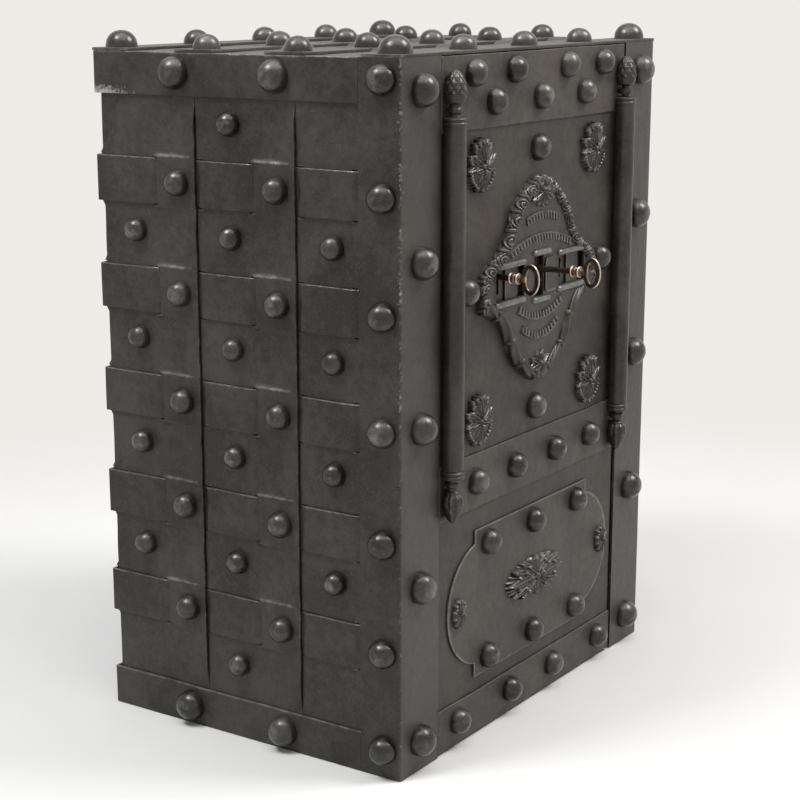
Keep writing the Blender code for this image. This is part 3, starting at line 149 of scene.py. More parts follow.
floor_finish, tree, shader = new_finish("pale_floor")
place, seen = here(tree), seen_straight(tree)
shader.inputs["Roughness"].default_value = 0.75
tone = blend(tree, noise(tree, place, 2.2, 5.0), grey(0.78), grey(0.86))
tree.links.new(blend(tree, seen, grey(0.26), tone), shader.inputs["Base Color"])
span = add_node(tree, "VectorMath", {0: place}, operation="LENGTH").outputs["Value"]
share = reckon(tree, "MULTIPLY", remap(tree, span, 0.9, 2.0), seen)
pale = add_node(tree, "Emission", {"Color": PALE, "Strength": 1.0})
both = add_node(tree, "MixShader", {0: share, 1: shader.outputs[0], 2: pale.outputs[0]})
tree.links.new(both.outputs[0], tree.nodes["Material Output"].inputs["Surface"])
floor = bpy.data.objects.new("floor", floor_disc(40.0, 40, 64))
floor.data.materials.append(floor_finish)
scene.collection.objects.link(floor)

world = bpy.data.worlds.new("studio")
scene.world = world
world.use_nodes = True
tree = world.node_tree
tree.nodes.clear()
tone = blend(tree, seen_straight(tree), (0.30, 0.305, 0.31, 1.0), PALE)
air = add_node(tree, "Background", {"Color": tone, "Strength": 1.0})
tree.links.new(air.outputs[0], tree.nodes.new("ShaderNodeOutputWorld").inputs[0])


def soft_lamp(name, place, target, size, power, tint):
    """A square lamp that looks from its place to the target: turned down from the vertical by
    the angle of the line between them, then round Z."""
    data = bpy.data.lights.new(name, "AREA")
    data.shape = "RECTANGLE"
    data.size = data.size_y = size
    data.energy, data.color = power, tint
    lamp = bpy.data.objects.new(name, data)
    lamp.location = place
    scene.collection.objects.link(lamp)
    aim = np.array(target) - np.array(place)
    flat = math.hypot(aim[0], aim[1])
    lamp.rotation_euler = (math.atan2(flat, -aim[2]), 0, math.atan2(-aim[0], aim[1]))


soft_lamp("ceiling", (-0.6, -0.4, 3.4), (0, 0, 0.4), 2.6, 52, (1.0, 0.985, 0.96))
soft_lamp("left_rear", (-2.1, 1.0, 4.0), (-0.3, 0, 0.6), 1.15, 92, (0.97, 0.985, 1.0))
soft_lamp("front_right", (1.4, -2.3, 3.7), (0, -0.2, 0.6), 1.5, 108, (1.0, 0.98, 0.95))

# Oak case: walls, back, roof and floor boards, two posts, shelf and cleats, and the
# door's core. Sawn oak, darkened by age, with planed faces and slightly broken edges.
OAK_DARK, OAK_LIGHT = (0.062, 0.030, 0.014, 1.0), (0.215, 0.120, 0.060, 1.0)
BOARD_EDGE = 0.0015


def effect(name, inputs, outputs):
    """A shader node group with named inputs (label, kind, value) and number outputs (label)."""
    group = bpy.data.node_groups.new(name, "ShaderNodeTree")
    for label, kind, value in inputs:
        socket = group.interface.new_socket(label, in_out="INPUT", socket_type="NodeSocket" + kind)
        socket.default_value = value
    for label in outputs:
        group.interface.new_socket(label, in_out="OUTPUT", socket_type="NodeSocketFloat")
    return group, group.nodes.new("NodeGroupInput").outputs


def give(group, **values):
    """Sends values to the group's outputs of those names."""
    result = group.nodes.new("NodeGroupOutput")
    for label, value in values.items():
        group.links.new(value, result.inputs[label])


def use(tree, group, **values):
    """The outputs of a node group placed in a material, with its own values."""
    links = {label.replace("_", " "): value for label, value in values.items()}
    return add_node(tree, "Group", links, node_tree=group).outputs


def surface(tree, shader, colour, roughness, height, strength, distance):
    """Sends a colour, a roughness and a height, as a bump, to the shader."""
    bump = add_node(tree, "Bump", {"Height": height, "Strength": strength, "Distance": distance})
    for value, label in ((colour, "Base Color"), (roughness, "Roughness"), (bump.outputs[0], "Normal")):
        tree.links.new(value, shader.inputs[label])


oak_grain, given = effect("oak_grain", [("Stretch", "Vector", (9.0, 9.0, 1.0))], ["Grain", "Pores"])
along = add_node(oak_grain, "Mapping", {"Vector": here(oak_grain), "Scale": given["Stretch"]}).outputs[0]
warp = add_node(oak_grain, "TexNoise", {"Vector": along, "Scale": 1.6, "Detail": 4.0})
bend = add_node(oak_grain, "VectorMath", {0: along, 1: warp.outputs[1]}, operation="ADD").outputs[0]
give(oak_grain, Grain=noise(oak_grain, bend, 7.0, 6.0, Roughness=0.65),
     Pores=remap(oak_grain, noise(oak_grain, along, 46.0, 3.0), 0.52, 0.66))


def oak_finish(name, stretch):
    """Aged oak whose grain runs along the axis that is stretched least."""
    material, tree, shader = new_finish(name)
    grain, pores = use(tree, oak_grain, Stretch=stretch)
    tone = blend(tree, remap(tree, grain, 0.32, 0.68), OAK_DARK, OAK_LIGHT)
    tone = blend(tree, pores, tone, OAK_DARK, "MULTIPLY")
    rough = remap(tree, grain, 0.0, 1.0, 0.55, 0.80)
    surface(tree, shader, tone, rough, reckon(tree, "SUBTRACT", grain, pores), 0.5, 0.0008)
    return material


def break_edges(piece, width, degrees):
    """A small bevel on every edge that turns by more than an angle."""
    bevel = piece.modifiers.new("edge", "BEVEL")
    bevel.width, bevel.segments = width, 2
    bevel.limit_method, bevel.angle_limit = "ANGLE", math.radians(degrees)
    bevel.harden_normals = True


def dress(material, edge, *names):
    """Gives CAD nodes their finish, and breaks their edges."""
    for name in names:
        piece = nodes[name]
        piece.data.materials.clear()
        piece.data.materials.append(material)
        piece.data.shade_smooth()
        piece.modifiers.new("weld", "WELD").merge_threshold = 0.00002
        break_edges(piece, edge, 38)


dress(oak_finish("oak_upright", (9.0, 9.0, 1.0)), BOARD_EDGE,
      "left_wall", "right_wall", "back_wall", "left_post", "right_post", "door_core")
dress(oak_finish("oak_level", (1.0, 9.0, 9.0)), BOARD_EDGE,
      "roof_board", "floor_board", "shelf", "shelf_cleat_left", "shelf_cleat_right")

# Old painted iron. Every sheet, band and casting carries the same thin black paint: cloudy,
# dented by the hammer, rubbed to graphite on its edges, with a little rust and some chips.
# Hollows get painted shade, and on the corner plates forward faces get painted light.
RUBBED, RUST, CHIP = (0.215, 0.212, 0.206, 1.0), (0.085, 0.046, 0.030, 1.0), (0.62, 0.60, 0.56, 1.0)
DUST, FRONT_LIGHT_GREY = (0.150, 0.142, 0.132, 1.0), (0.150, 0.138, 0.126, 1.0)
# Painted shade: the near-black laid into hollows, creases and slots of castings and heads.
HOLLOW_SHADE = (0.010, 0.0095, 0.009, 1.0)
COAT_ROUGHNESS = 0.24

old_paint, given = effect("old_paint", [("Cloud Scale", "Float", 7.0), ("Dent Scale", "Float", 26.0)],
                          ["Cloud", "Mottle", "Smear", "Grain", "Height"])
place = here(old_paint)
grain = noise(old_paint, place, 520.0, 3.0)
drawn = add_node(old_paint, "Mapping", {"Vector": place, "Scale": (34.0, 34.0, 7.0)}).outputs[0]
height = reckon(old_paint, "MULTIPLY", noise(old_paint, place, given["Dent Scale"], 2.0), 3.2)
height = reckon(old_paint, "MULTIPLY_ADD", noise(old_paint, place, 130.0, 4.0), 0.42, height)
give(old_paint, Cloud=noise(old_paint, place, given["Cloud Scale"], 6.0, Roughness=0.62, Distortion=0.4),
     Mottle=noise(old_paint, place, 75.0, 7.0, Roughness=0.72),
     Smear=noise(old_paint, drawn, 1.0, 5.0), Grain=grain,
     Height=reckon(old_paint, "MULTIPLY_ADD", grain, 0.10, height))

rubbed, given = effect("rubbed", [("Amount", "Float", 0.0), ("Break Scale", "Float", 90.0)], ["Mask"])
breaks = noise(rubbed, here(rubbed), given["Break Scale"], 5.0)
mask = remap(rubbed, reckon(rubbed, "ADD", breaks, given["Amount"]), 0.78, 1.32)
gate = reckon(rubbed, "MULTIPLY", given["Amount"], 12.0, clamp=True)
give(rubbed, Mask=reckon(rubbed, "MULTIPLY", mask, gate))

settled, given = effect("settled_dust", [("Amount", "Float", 0.5)], ["Mask"])
facing = add_node(settled, "NewGeometry").outputs["Normal"]
flat = remap(settled, add_node(settled, "SeparateXYZ", {0: facing}).outputs["Z"], 0.55, 1.0)
thick = remap(settled, noise(settled, here(settled), 16.0, 6.0), 0.35, 0.75)
cover = reckon(settled, "MULTIPLY", flat, thick)
give(settled, Mask=reckon(settled, "MULTIPLY", cover, given["Amount"]))


def iron_finish(name, dark, light, rough, metal, dent, rust=0.3, dust=0.5, shine=0.0, front=0.0):
    """Old black paint on iron: the wear and chip attributes say where it has gone, the third
    attribute darkens hollows with painted shade, and front says how far faces that face
    forwards are painted a lighter grey, as painted light."""
    material, tree, shader = new_finish(name)
    paint = use(tree, old_paint)
    wear, chip, relief = (add_node(tree, "Attribute", attribute_name=key).outputs["Fac"]
                          for key in ("wear", "chip", "relief"))
    edge = use(tree, rubbed, Amount=wear)["Mask"]
    dirt = use(tree, settled, Amount=dust)["Mask"]
    blotch = reckon(tree, "MULTIPLY_ADD", paint["Mottle"], 0.60, paint["Cloud"])
    tone = blend(tree, remap(tree, blotch, 0.68, 0.94), (*dark, 1), (*light, 1))
    # Painted light: faces that face forwards are blended towards a lighter grey, as if lit more from the
    # front.
    if front:
        way = add_node(tree, "SeparateXYZ", {0: add_node(tree, "NewGeometry").outputs["Normal"]})
        tone = blend(tree, remap(tree, way.outputs["Y"], -0.5, -1.0, 0.0, front), tone, FRONT_LIGHT_GREY)
    # Laid over the paint: rust, grain, painted shade in the hollows, rubbed edges, dust and chips.
    for share, over in ((remap(tree, paint["Smear"], 0.56, 0.78, 0.0, rust), RUST),
                        (remap(tree, paint["Grain"], 0.60, 0.75, 0.0, 0.35), RUBBED),
                        (remap(tree, relief, -1.0, 0.0, 0.85, 0.0), HOLLOW_SHADE), (edge, RUBBED), (dirt, DUST),
                        (use(tree, rubbed, Amount=chip, Break_Scale=210.0)["Mask"], CHIP)):
        tone = blend(tree, share, tone, over)
    dull = remap(tree, paint["Cloud"], 0.3, 0.7, rough - 0.07, rough + 0.10)
    dull = reckon(tree, "MULTIPLY_ADD", edge, -0.12, dull)
    dull = reckon(tree, "MULTIPLY_ADD", dirt, 0.25, dull, clamp=True)
    surface(tree, shader, tone, dull, reckon(tree, "SUBTRACT", paint["Height"], edge), 0.55, dent)
    tree.links.new(remap(tree, edge, 0.0, 1.0, metal, 0.75), shader.inputs["Metallic"])
    shader.inputs["Coat Weight"].default_value = shine
    shader.inputs["Coat Roughness"].default_value = COAT_ROUGHNESS
    return material


BLACK = (0.023, 0.0219, 0.0206), (0.064, 0.0600, 0.0558)
side_iron = iron_finish("side_iron", *BLACK, 0.44, 0.30, 0.0011)
stud_iron = iron_finish("stud_iron", (0.020, 0.0193, 0.0183), (0.064, 0.0617, 0.0585), 0.32, 0.66,
                        0.0010, rust=0.12, dust=0.25, shine=0.42)
door_iron = iron_finish("door_iron", (0.044, 0.0387, 0.0345), (0.096, 0.0845, 0.0745), 0.48, 0.22, 0.0009)
# A copy of the side iron whose forward faces are painted lighter: painted light on the front leaves.
corner_iron_lit_front = iron_finish("corner_iron_lit_front", *BLACK, 0.44, 0.30, 0.0011, front=0.30)
# Painted shade: a darker copy of the door iron for the recessed face sheet, which lies in shade between the
# columns and bands.
shaded_panel_iron = iron_finish("shaded_panel_iron", (0.028, 0.0246, 0.0219), (0.068, 0.0592, 0.0520), 0.47, 0.24, 0.0009)
cast_iron = iron_finish("cast_iron", (0.033, 0.0300, 0.0270), (0.076, 0.070, 0.063), 0.38, 0.42, 0.0006,
                        rust=0.10, dust=0.35)
inner_iron = iron_finish("inner_iron", (0.030, 0.029, 0.028), (0.055, 0.052, 0.048), 0.52, 0.30, 0.0009,
                         rust=0.55)

# Side and back plates: three tall iron sheets to a face, each stepping over the next, slit
# where the bands dive under, and swelling over the bands. Cut, dished and nailed to oak.
WIDTH, DEPTH, HEIGHT = 0.730, 0.530, 1.000
FRONT, BACK = -DEPTH / 2, DEPTH / 2
PLATE, SEAT, SKIN = 0.004, 0.0003, 0.0043
BAND, EASE, SLIT = 0.066, 0.0012, 0.012
TOP_BAND, BOTTOM_BAND = 0.064, 0.060
SWELL, LAP_EDGE, LAP_RAMP, LAP_END = 0.009, 0.003, 0.036, 0.034
REAR_INSET, LEAF = 0.010, 0.067
SHEET_EDGE, FINE = 0.0009, 0.0016
SHEET_FOOT, SHEET_HEAD = 0.0008, 0.9911
ROW_PITCH = 0.1575
ROWS = 0.185 + ROW_PITCH * np.arange(5)
SIDE_PITCH = (DEPTH - REAR_INSET - LEAF) * 0.384
BACK_PITCH = (WIDTH - 2 * REAR_INSET) / 3
SLIT_SHARE, BAND_STUD_SHARE, CELL_STUD_SHARE = 0.43, 0.178, 0.35

FACES = {
    "left": ((-WIDTH / 2, BACK, 0), (0, -1, 0), (1, 0, 0), (0, 0, 1)),
    "right": ((WIDTH / 2, BACK, 0), (0, -1, 0), (-1, 0, 0), (0, 0, 1)),
    "back": ((WIDTH / 2, BACK, 0), (-1, 0, 0), (0, -1, 0), (0, 0, 1)),
    "top": ((-WIDTH / 2, FRONT, HEIGHT), (1, 0, 0), (0, 0, -1), (0, 1, 0)),
    "front": ((0, FRONT, 0), (1, 0, 0), (0, 1, 0), (0, 0, 1)),
}


def step_up(t):
    """Rises from 0 to 1 between t = 0 and 1, as 3t squared less 2t cubed."""
    t = np.clip(t, 0, 1)
    return t * t * (3 - 2 * t)


def on_face(face, u, depth, v):
    """Points of a face: u along it, depth inwards and v up it, from its first corner."""
    origin, along, inward, up = (np.array(part, float) for part in FACES[face])
    u, depth, v = np.broadcast_arrays(u, depth, v)
    return origin + u[..., None] * along + depth[..., None] * inward + v[..., None] * up


def ripple(u, v, seed, height, pitch):
    """Slow unevenness: a sum of six sines whose directions and phases come from the seed."""
    draw = np.random.default_rng(seed)
    total = 0
    for k in range(6):
        turn, phase = draw.uniform(0, math.tau, 2)
        rate = math.tau / (pitch * draw.uniform(0.6, 1.8))
        total = total + np.sin(rate * (u * math.cos(turn) + v * math.sin(turn)) + phase)
    return height * total / 3


def lines(stops, widest):
    """Grid lines through every stop, none further apart than the widest gap."""
    stops = np.unique(np.round(stops, 6))
    stops = stops[np.append(True, np.diff(stops) > 0.0004)]
    spans = [np.linspace(a, b, max(1, math.ceil((b - a) / widest)), endpoint=False)
             for a, b in zip(stops[:-1], stops[1:])]
    return np.concatenate(spans + [stops[-1:]])


def cell_middles(us, vs):
    """The middle of every cell between grid lines, along and up."""
    return np.meshgrid((us[:-1] + us[1:]) / 2, (vs[:-1] + vs[1:]) / 2, indexing="ij")


def from_nearest(value, places):
    """How far each value is from the nearest of the places."""
    return np.min(np.abs(value[..., None] - places), -1)


def sheet_part(points, marks, keep=True, flip=False):
    """Quads of an (n, m, 3) grid, without the cells that keep leaves out, as a part."""
    n, m = points.shape[:2]
    quads = grid_quads(n, m)[np.broadcast_to(keep, (n - 1, m - 1))]
    if flip:
        quads = quads[:, ::-1]
    used, quads = np.unique(quads, return_inverse=True)
    marks = {key: np.broadcast_to(value, (n, m)).reshape(-1)[used] for key, value in marks.items()}
    return points.reshape(-1, 3)[used], quads.reshape(-1, 4).tolist(), marks


def add_piece(name, parts, material, body, replaced=(), sharp=40, solid=None, edge=None):
    """Joins parts (points, faces, marks) into one object that rides on a body."""
    points, faces, marks, count = [], [], {}, 0
    keys = sorted({key for part in parts for key in part[2]})
    for part_points, part_faces, part_marks in parts:
        points.append(part_points)
        faces += [[k + count for k in face] for face in part_faces]
        for key in keys:
            value = part_marks.get(key, 0.0)
            marks.setdefault(key, []).append(np.broadcast_to(value, len(part_points)))
        count += len(part_points)
    mesh = bpy.data.meshes.new(name)
    mesh.from_pydata(np.concatenate(points).tolist(), [], faces)
    for key in keys:
        layer = mesh.attributes.new(key, "FLOAT", "POINT")
        layer.data.foreach_set("value", np.concatenate(marks[key]).astype(np.float32))
    mesh.materials.append(material)
    mesh.shade_smooth()
    if edge is None:
        mesh.set_sharp_from_angle(angle=math.radians(sharp))
    piece = bpy.data.objects.new(name, mesh)
    scene.collection.objects.link(piece)
    if solid:
        wall = piece.modifiers.new("wall", "SOLIDIFY")
        wall.thickness = solid
        wall.offset = -1.0
    if edge:
        break_edges(piece, edge, 50)
    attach(piece, body)
    if replaced:
        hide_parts(*replaced)
    return piece


def near(value, edges, reach):
    """1 at any of the edges, falling to 0 at the reach."""
    gaps = [np.abs(value - place) for place in edges]
    return np.clip(1 - np.minimum.reduce(gaps) / reach, 0, 1)


def woven_plate(name, face, left, right, slit, first, last, leaf, seed):
    """One plate on a grid: its depth is one skin less the swell over the rows (from the slit
    on) or the lap along its right edge, whichever is greater, with cells left out at slits."""
    half = BAND / 2 + EASE
    foot, head = BOTTOM_BAND + EASE, HEIGHT - TOP_BAND - EASE
    start = left if first else left + SEAT
    opens = []
    if not first:
        opens.append((start, left + SLIT))
    if slit:
        opens.append((slit - SLIT / 2, slit + SLIT / 2))
    if last and leaf is None:
        opens.append((right - SLIT, right))
    if leaf:
        opens.append((leaf - SLIT, right))
    lap = bool(slit) and not last
    lap_full = right - LAP_EDGE
    stops = [start, right, start + FINE, right - FINE, right - 0.005]
    for a, b in opens:
        stops += [a, b, a - FINE, b + FINE]
    if slit:
        stops += list(np.linspace(slit - SLIT / 2, slit + SLIT / 2, 5))
    if lap:
        stops += list(np.linspace(lap_full - LAP_RAMP, lap_full, 6))
    us = lines([u for u in stops if start <= u <= right], 0.012)
    levels = [SHEET_FOOT, SHEET_HEAD]
    for row in ROWS:
        for side in (-1, 1):
            levels += list(row + side * (half + np.linspace(0, SWELL, 6)))
            levels.append(row + side * (half - FINE))
    if lap:
        levels += list(np.linspace(foot, foot + LAP_END, 6)) + list(np.linspace(head - LAP_END, head, 6))
    vs = lines(levels, 0.012)
    u, v = np.meshgrid(us, vs, indexing="ij")
    off_row = from_nearest(v, ROWS)
    swell = np.zeros_like(u)
    if slit:
        swell = step_up((half + SWELL - off_row) / SWELL) * step_up((u - slit + SLIT / 2) / SLIT)
        if last:
            swell = swell * (off_row <= half + SWELL)
    if lap:
        along = step_up((u - lap_full + LAP_RAMP) / LAP_RAMP)
        swell = np.maximum(swell, along * step_up((v - foot) / LAP_END) * step_up((head - v) / LAP_END))
    uneven = ripple(u, v, seed, 0.00022, 0.09)
    depth = SKIN * (1 - swell) + np.maximum(uneven, -0.00018)
    wander = ripple(0 * v, v, seed + 50, 0.00055, 0.07) * step_up((u - right + 0.04) / 0.04)
    wander = np.clip(wander, -0.001, 0.0008) if slit else 0
    middle_u, middle_v = cell_middles(us, vs)
    in_row = from_nearest(middle_v, ROWS) <= half
    open_here = np.zeros(middle_u.shape, bool)
    for a, b in opens:
        open_here |= in_row & (middle_u > a) & (middle_u < b)
    wear = 0.34 * near(u, [right] if slit else [start], 0.003)
    # Painted highlight: the upper slope of each swell, just above a band, gets a strip of the wear mark so
    # that it reads lit from above; the lower slope gets none.
    above = from_nearest(v, ROWS + half + 0.0035)
    crest_highlight = np.clip(1 - above / 0.005, 0, 1) * (swell > 0.3) * (swell < 0.98) if slit else 0
    wear = np.maximum(wear, 0.54 * crest_highlight)
    for a, b in opens:
        wear = np.maximum(wear, 0.5 * near(u, [a, b], 0.002) * (off_row < half + 0.002))
    points = on_face(face, u + wander, depth, v)
    part = sheet_part(points, {"wear": wear}, ~open_here, face == "right")
    add_piece(name, [part], side_iron, "case", [name], solid=PLATE, edge=SHEET_EDGE)


def side_plates():
    """The three plates of a side, from the rear: (left, right, slit), each slit a share of the
    pitch before the plate's right edge."""
    first = REAR_INSET + SIDE_PITCH
    second = first + SIDE_PITCH
    drop = SIDE_PITCH * SLIT_SHARE
    return [(REAR_INSET, first, first - drop), (first, second, second - drop),
            (second, DEPTH - REAR_INSET, None)]


def back_plates():
    """The three plates of the back, in equal pitches: (left, right, slit)."""
    edges = REAR_INSET + BACK_PITCH * np.arange(4)
    return [(a, b, b - BACK_PITCH * SLIT_SHARE) for a, b in zip(edges, edges[1:])]


for number, side in enumerate(("left", "right")):
    for k, (label, (left, right, slit)) in enumerate(zip(("rear", "middle", "front"), side_plates())):
        leaf = DEPTH - LEAF if k == 2 else None
        woven_plate(side + "_plate_" + label, side, left, right, slit, k == 0, k == 2, leaf,
                    10 * number + k)
for k, (left, right, slit) in enumerate(back_plates()):
    woven_plate("back_plate_%d" % (k + 1), "back", left, right, slit, k == 0, k == 2, None, 30 + k)

# Side bands: five straps woven through the plates, one plain strap over their heads and one
# over their feet. Each is one strip, bent hot round the rear corners.
CORNER_BEND, STRAP_ROUND = 0.003, 0.0010


def outward_faces(points, quads, *caps):
    """Quads and triangles as lists, all turned round where the volume that they close is
    negative: the sum of a . (b x c) over the triangles a, b, c."""
    a, b, c = points[np.concatenate([quads[:, [0, 1, 2]], quads[:, [0, 2, 3]], *caps])].transpose(1, 0, 2)
    turn = -1 if np.sum(a * np.cross(b, c)) < 0 else 1
    return [face for group in (quads, *caps) for face in group[:, ::turn].tolist()]


def shell_part(rings, marks=None):
    """A closed shell from an (n, m, 3) stack of rings, each end closed by a fan."""
    n, m = rings.shape[:2]
    quads = grid_quads(n, m, around=True).reshape(-1, 4)
    points = np.concatenate([rings.reshape(-1, 3), [rings[0].mean(0), rings[-1].mean(0)]])
    ring = np.arange(m)
    head = np.stack([np.full(m, n * m), ring, np.roll(ring, -1)], -1)
    tail = np.stack([np.full(m, n * m + 1), (n - 1) * m + np.roll(ring, -1), (n - 1) * m + ring], -1)
    marks = {key: np.append(np.broadcast_to(value, (n, m)).reshape(-1), [np.mean(value)] * 2)
             for key, value in (marks or {}).items()}
    return points, outward_faces(points, quads, head, tail), marks


def dives(plates, corner_last, leaf):
    """Where a band sinks one skin and rises again: (from, to, rising) along a face."""
    moves = []
    for k, (_, right, slit) in enumerate(plates):
        if slit is None:
            continue
        moves.append((slit - SLIT / 2 + SEAT, slit + SLIT / 2 - SEAT, 1))
        edge = right - SLIT if corner_last and k == len(plates) - 1 else right
        moves.append((edge + SEAT, edge + SLIT - SEAT, -1))
    if leaf:
        moves.append((leaf - SLIT + SEAT, leaf - SEAT, 1))
    return moves


def band_run(face, start, end, moves, turn_back):
    """Plan points, depths and outward directions of a band along one face."""
    stops = [start, end]
    for a, b, sign in moves:
        stops += list(np.linspace(a, b, 6))
    u = lines([s for s in stops if start <= s <= end], 0.011)
    depth = np.zeros_like(u)
    for a, b, sign in moves:
        depth += sign * SKIN * step_up((u - a) / (b - a))
    points = on_face(face, u, 0, 0 * u)
    outward = np.broadcast_to(-np.array(FACES[face][2], float), points.shape)
    if turn_back:
        return points[::-1], depth[::-1], outward[::-1]
    return points, depth, outward


def corner_arc(x_sign):
    """Plan points round a rear corner, as a quarter turn of the bend's radius."""
    turn = np.linspace(0, math.pi / 2, 5)
    outward = np.stack([x_sign * np.cos(turn), np.sin(turn), 0 * turn], -1)
    centre = np.array([x_sign * (WIDTH / 2 - CORNER_BEND), BACK - CORNER_BEND, 0])
    points = centre + CORNER_BEND * outward
    return (points, 0 * turn, outward) if x_sign > 0 else (points[::-1], 0 * turn, outward[::-1])


def distance_along(points):
    """How far each point lies along the line through them."""
    return np.append(0, np.cumsum(np.linalg.norm(np.diff(points, axis=0), axis=1)))


def strap_profile(width):
    """Section of a strap: depth and height round it, with small round edges, and its wear, which along one
    edge is partly a painted highlight.
    """
    edge, half = STRAP_ROUND, width / 2
    turn = np.linspace(0, math.pi / 2, 3)
    top = np.stack([edge - edge * np.sin(turn), half - edge + edge * np.cos(turn)], -1)
    inner = np.array([[0, half - 0.004], [0, half / 2], [0, 0], [0, -half / 2], [0, 0.004 - half]])
    back = np.array([[edge, -half], [PLATE, -half], [PLATE, 0], [PLATE, half]])
    section = np.concatenate([[[edge, half]], top[1:], inner, (top * [1, -1])[::-1][:-1], back])
    worn = np.exp(-((half - np.abs(section[:, 1])) / 0.0014)) * (section[:, 0] < PLATE / 2)
    # One edge (the upper one on the sides) gets the full mark, the other less: edge wear, and along that edge
    # a painted highlight as if lit from above.
    worn = worn * np.where(section[:, 1] > 0, 1.0, 0.3)
    return section, worn


def strap(name, low, high, woven, seed):
    """A strap: its section carried along the plan path, less the path's depth along outward."""
    moves = dives(side_plates(), False, DEPTH - LEAF) if woven else []
    end = DEPTH - REAR_INSET if woven else DEPTH - LEAF - SEAT
    back_moves = dives(back_plates(), True, None) if woven else []
    bent = CORNER_BEND + 0.001
    runs = [band_run("right", bent, end, moves, True), corner_arc(1),
            band_run("back", bent, WIDTH - CORNER_BEND - 0.001, back_moves, False),
            corner_arc(-1), band_run("left", bent, end, moves, False)]
    path, depth, outward = (np.concatenate([run[k] for run in runs]) for k in range(3))
    section, worn = strap_profile(high - low)
    length = distance_along(path)[:, None]
    sunk = depth[:, None] + section[None, :, 0]
    sunk = sunk + np.clip(ripple(length, section[None, :, 1], seed, 0.00018, 0.10), -0.00018, 0.00018)
    height = (low + high) / 2 + section[None, :, 1]
    height = height + np.sign(section[None, :, 1]) * ripple(length, 0, seed + 7, 0.00035, 0.12)
    rings = path[:, None, :] - outward[:, None, :] * sunk[..., None]
    rings = rings + height[..., None] * np.array([0, 0, 1])
    marks = {"wear": 0.72 * worn[None, :] + 0 * length}
    if name == "top_side_band":
        start = np.exp(-((path[:, 1] - BACK) ** 2) / 0.0048 - ((path[:, 0] + WIDTH / 2) ** 2) / 0.0009)
        marks["chip"] = 0.80 * start[:, None] * np.clip(-section[None, :, 1] / 0.030, 0, 1) ** 2
    return shell_part(rings, marks)


straps = [("woven_band_%d" % (k + 1), row - BAND / 2, row + BAND / 2, True, 60 + k)
          for k, row in enumerate(ROWS)]
straps += [("top_side_band", HEIGHT - TOP_BAND, HEIGHT - SKIN, False, 70),
           ("bottom_side_band", SHEET_FOOT, BOTTOM_BAND, False, 71)]
for name, *shape in straps:
    add_piece(name, [strap(name, *shape)], side_iron, "case", [name])

# Front corner plates: two angle irons, bent with a narrow leaf on the side and a wide one
# on the front, nailed through both. The left one has shed white chips along its bend.
FRONT_LEAF, BEND = 0.097, 0.0035
OPENING = WIDTH / 2 - FRONT_LEAF


def corner_plate(name, side, seed):
    """The angle's outline in plan (leaf, quarter turn, leaf) on a grid with the height."""
    edge = side * WIDTH / 2
    turn = np.linspace(0, math.pi / 2, 6)[1:-1]
    leaf_y = lines([FRONT + BEND, FRONT + LEAF - FINE, FRONT + LEAF], 0.012)[::-1]
    front_x = lines([0, FRONT_LEAF - BEND - FINE, FRONT_LEAF - BEND], 0.012)
    x = np.concatenate([np.full(len(leaf_y), edge), edge - side * BEND * (1 - np.cos(turn)),
                        edge - side * (BEND + front_x)])
    y = np.concatenate([leaf_y, FRONT + BEND * (1 - np.sin(turn)), np.full(len(front_x), FRONT)])
    out_x = np.concatenate([np.full(len(leaf_y), side), side * np.cos(turn), 0 * front_x])
    out_y = np.concatenate([0 * leaf_y, -np.sin(turn), np.full(len(front_x), -1.0)])
    z = lines([SHEET_FOOT, 0.003, HEIGHT - SKIN - 0.002, HEIGHT - SKIN], 0.014)
    x, height = np.meshgrid(x, z, indexing="ij")
    y = np.broadcast_to(y[:, None], x.shape)
    dent = np.clip(ripple(y - x, height, seed, 0.00025, 0.11), -0.0004, 0)
    points = np.stack([x + dent * out_x[:, None], y + dent * out_y[:, None], height], -1)
    bend = np.exp(-((np.abs(x - edge) + np.abs(y - FRONT)) / 0.0030))
    wear = np.maximum(0.42 * bend, 0.16 * near(y, [FRONT + LEAF], 0.003) * (np.abs(x - edge) < 1e-6))
    wear = np.maximum(wear, 0.3 * near(x, [side * OPENING], 0.003))
    marks = {"wear": wear}
    if side < 0:
        patchy = 0.5 + 0.5 * np.sin(height * 23 + 1.2) * np.sin(height * 61)
        marks["chip"] = bend * (0.40 + 0.42 * patchy * step_up((height - 0.25) / 0.5))
    part = sheet_part(points, marks, flip=side > 0)
    add_piece(name, [part], corner_iron_lit_front, "case", [name], solid=PLATE, edge=SHEET_EDGE)


# Both corner plates take the copy of the side iron with painted light on its forward faces.
corner_plate("left_corner_plate", -1, 80)
corner_plate("right_corner_plate", 1, 81)

# Top: one slit sheet with two bands woven through it from side to side, under a plain band
# along the front edge and one along the rear edge. Nothing on it opens.
TOP_INSET = 0.029
TOP_ROWS = TOP_INSET + (DEPTH - 2 * TOP_INSET) / 3 * np.arange(1, 3)
TOP_BAND_WIDTH, TOP_SHEET_FRONT, TOP_LEFT_STRIP = 0.062, 0.0128, 0.062


def top_modules():
    """The four fields of the top sheet behind its plain left strip: (left, right, slit)."""
    edges = TOP_LEFT_STRIP + (WIDTH - TOP_LEFT_STRIP) * np.arange(5) / 4
    return [(a, b, b - (edges[1] - edges[0]) * SLIT_SHARE) for a, b in zip(edges, edges[1:])]


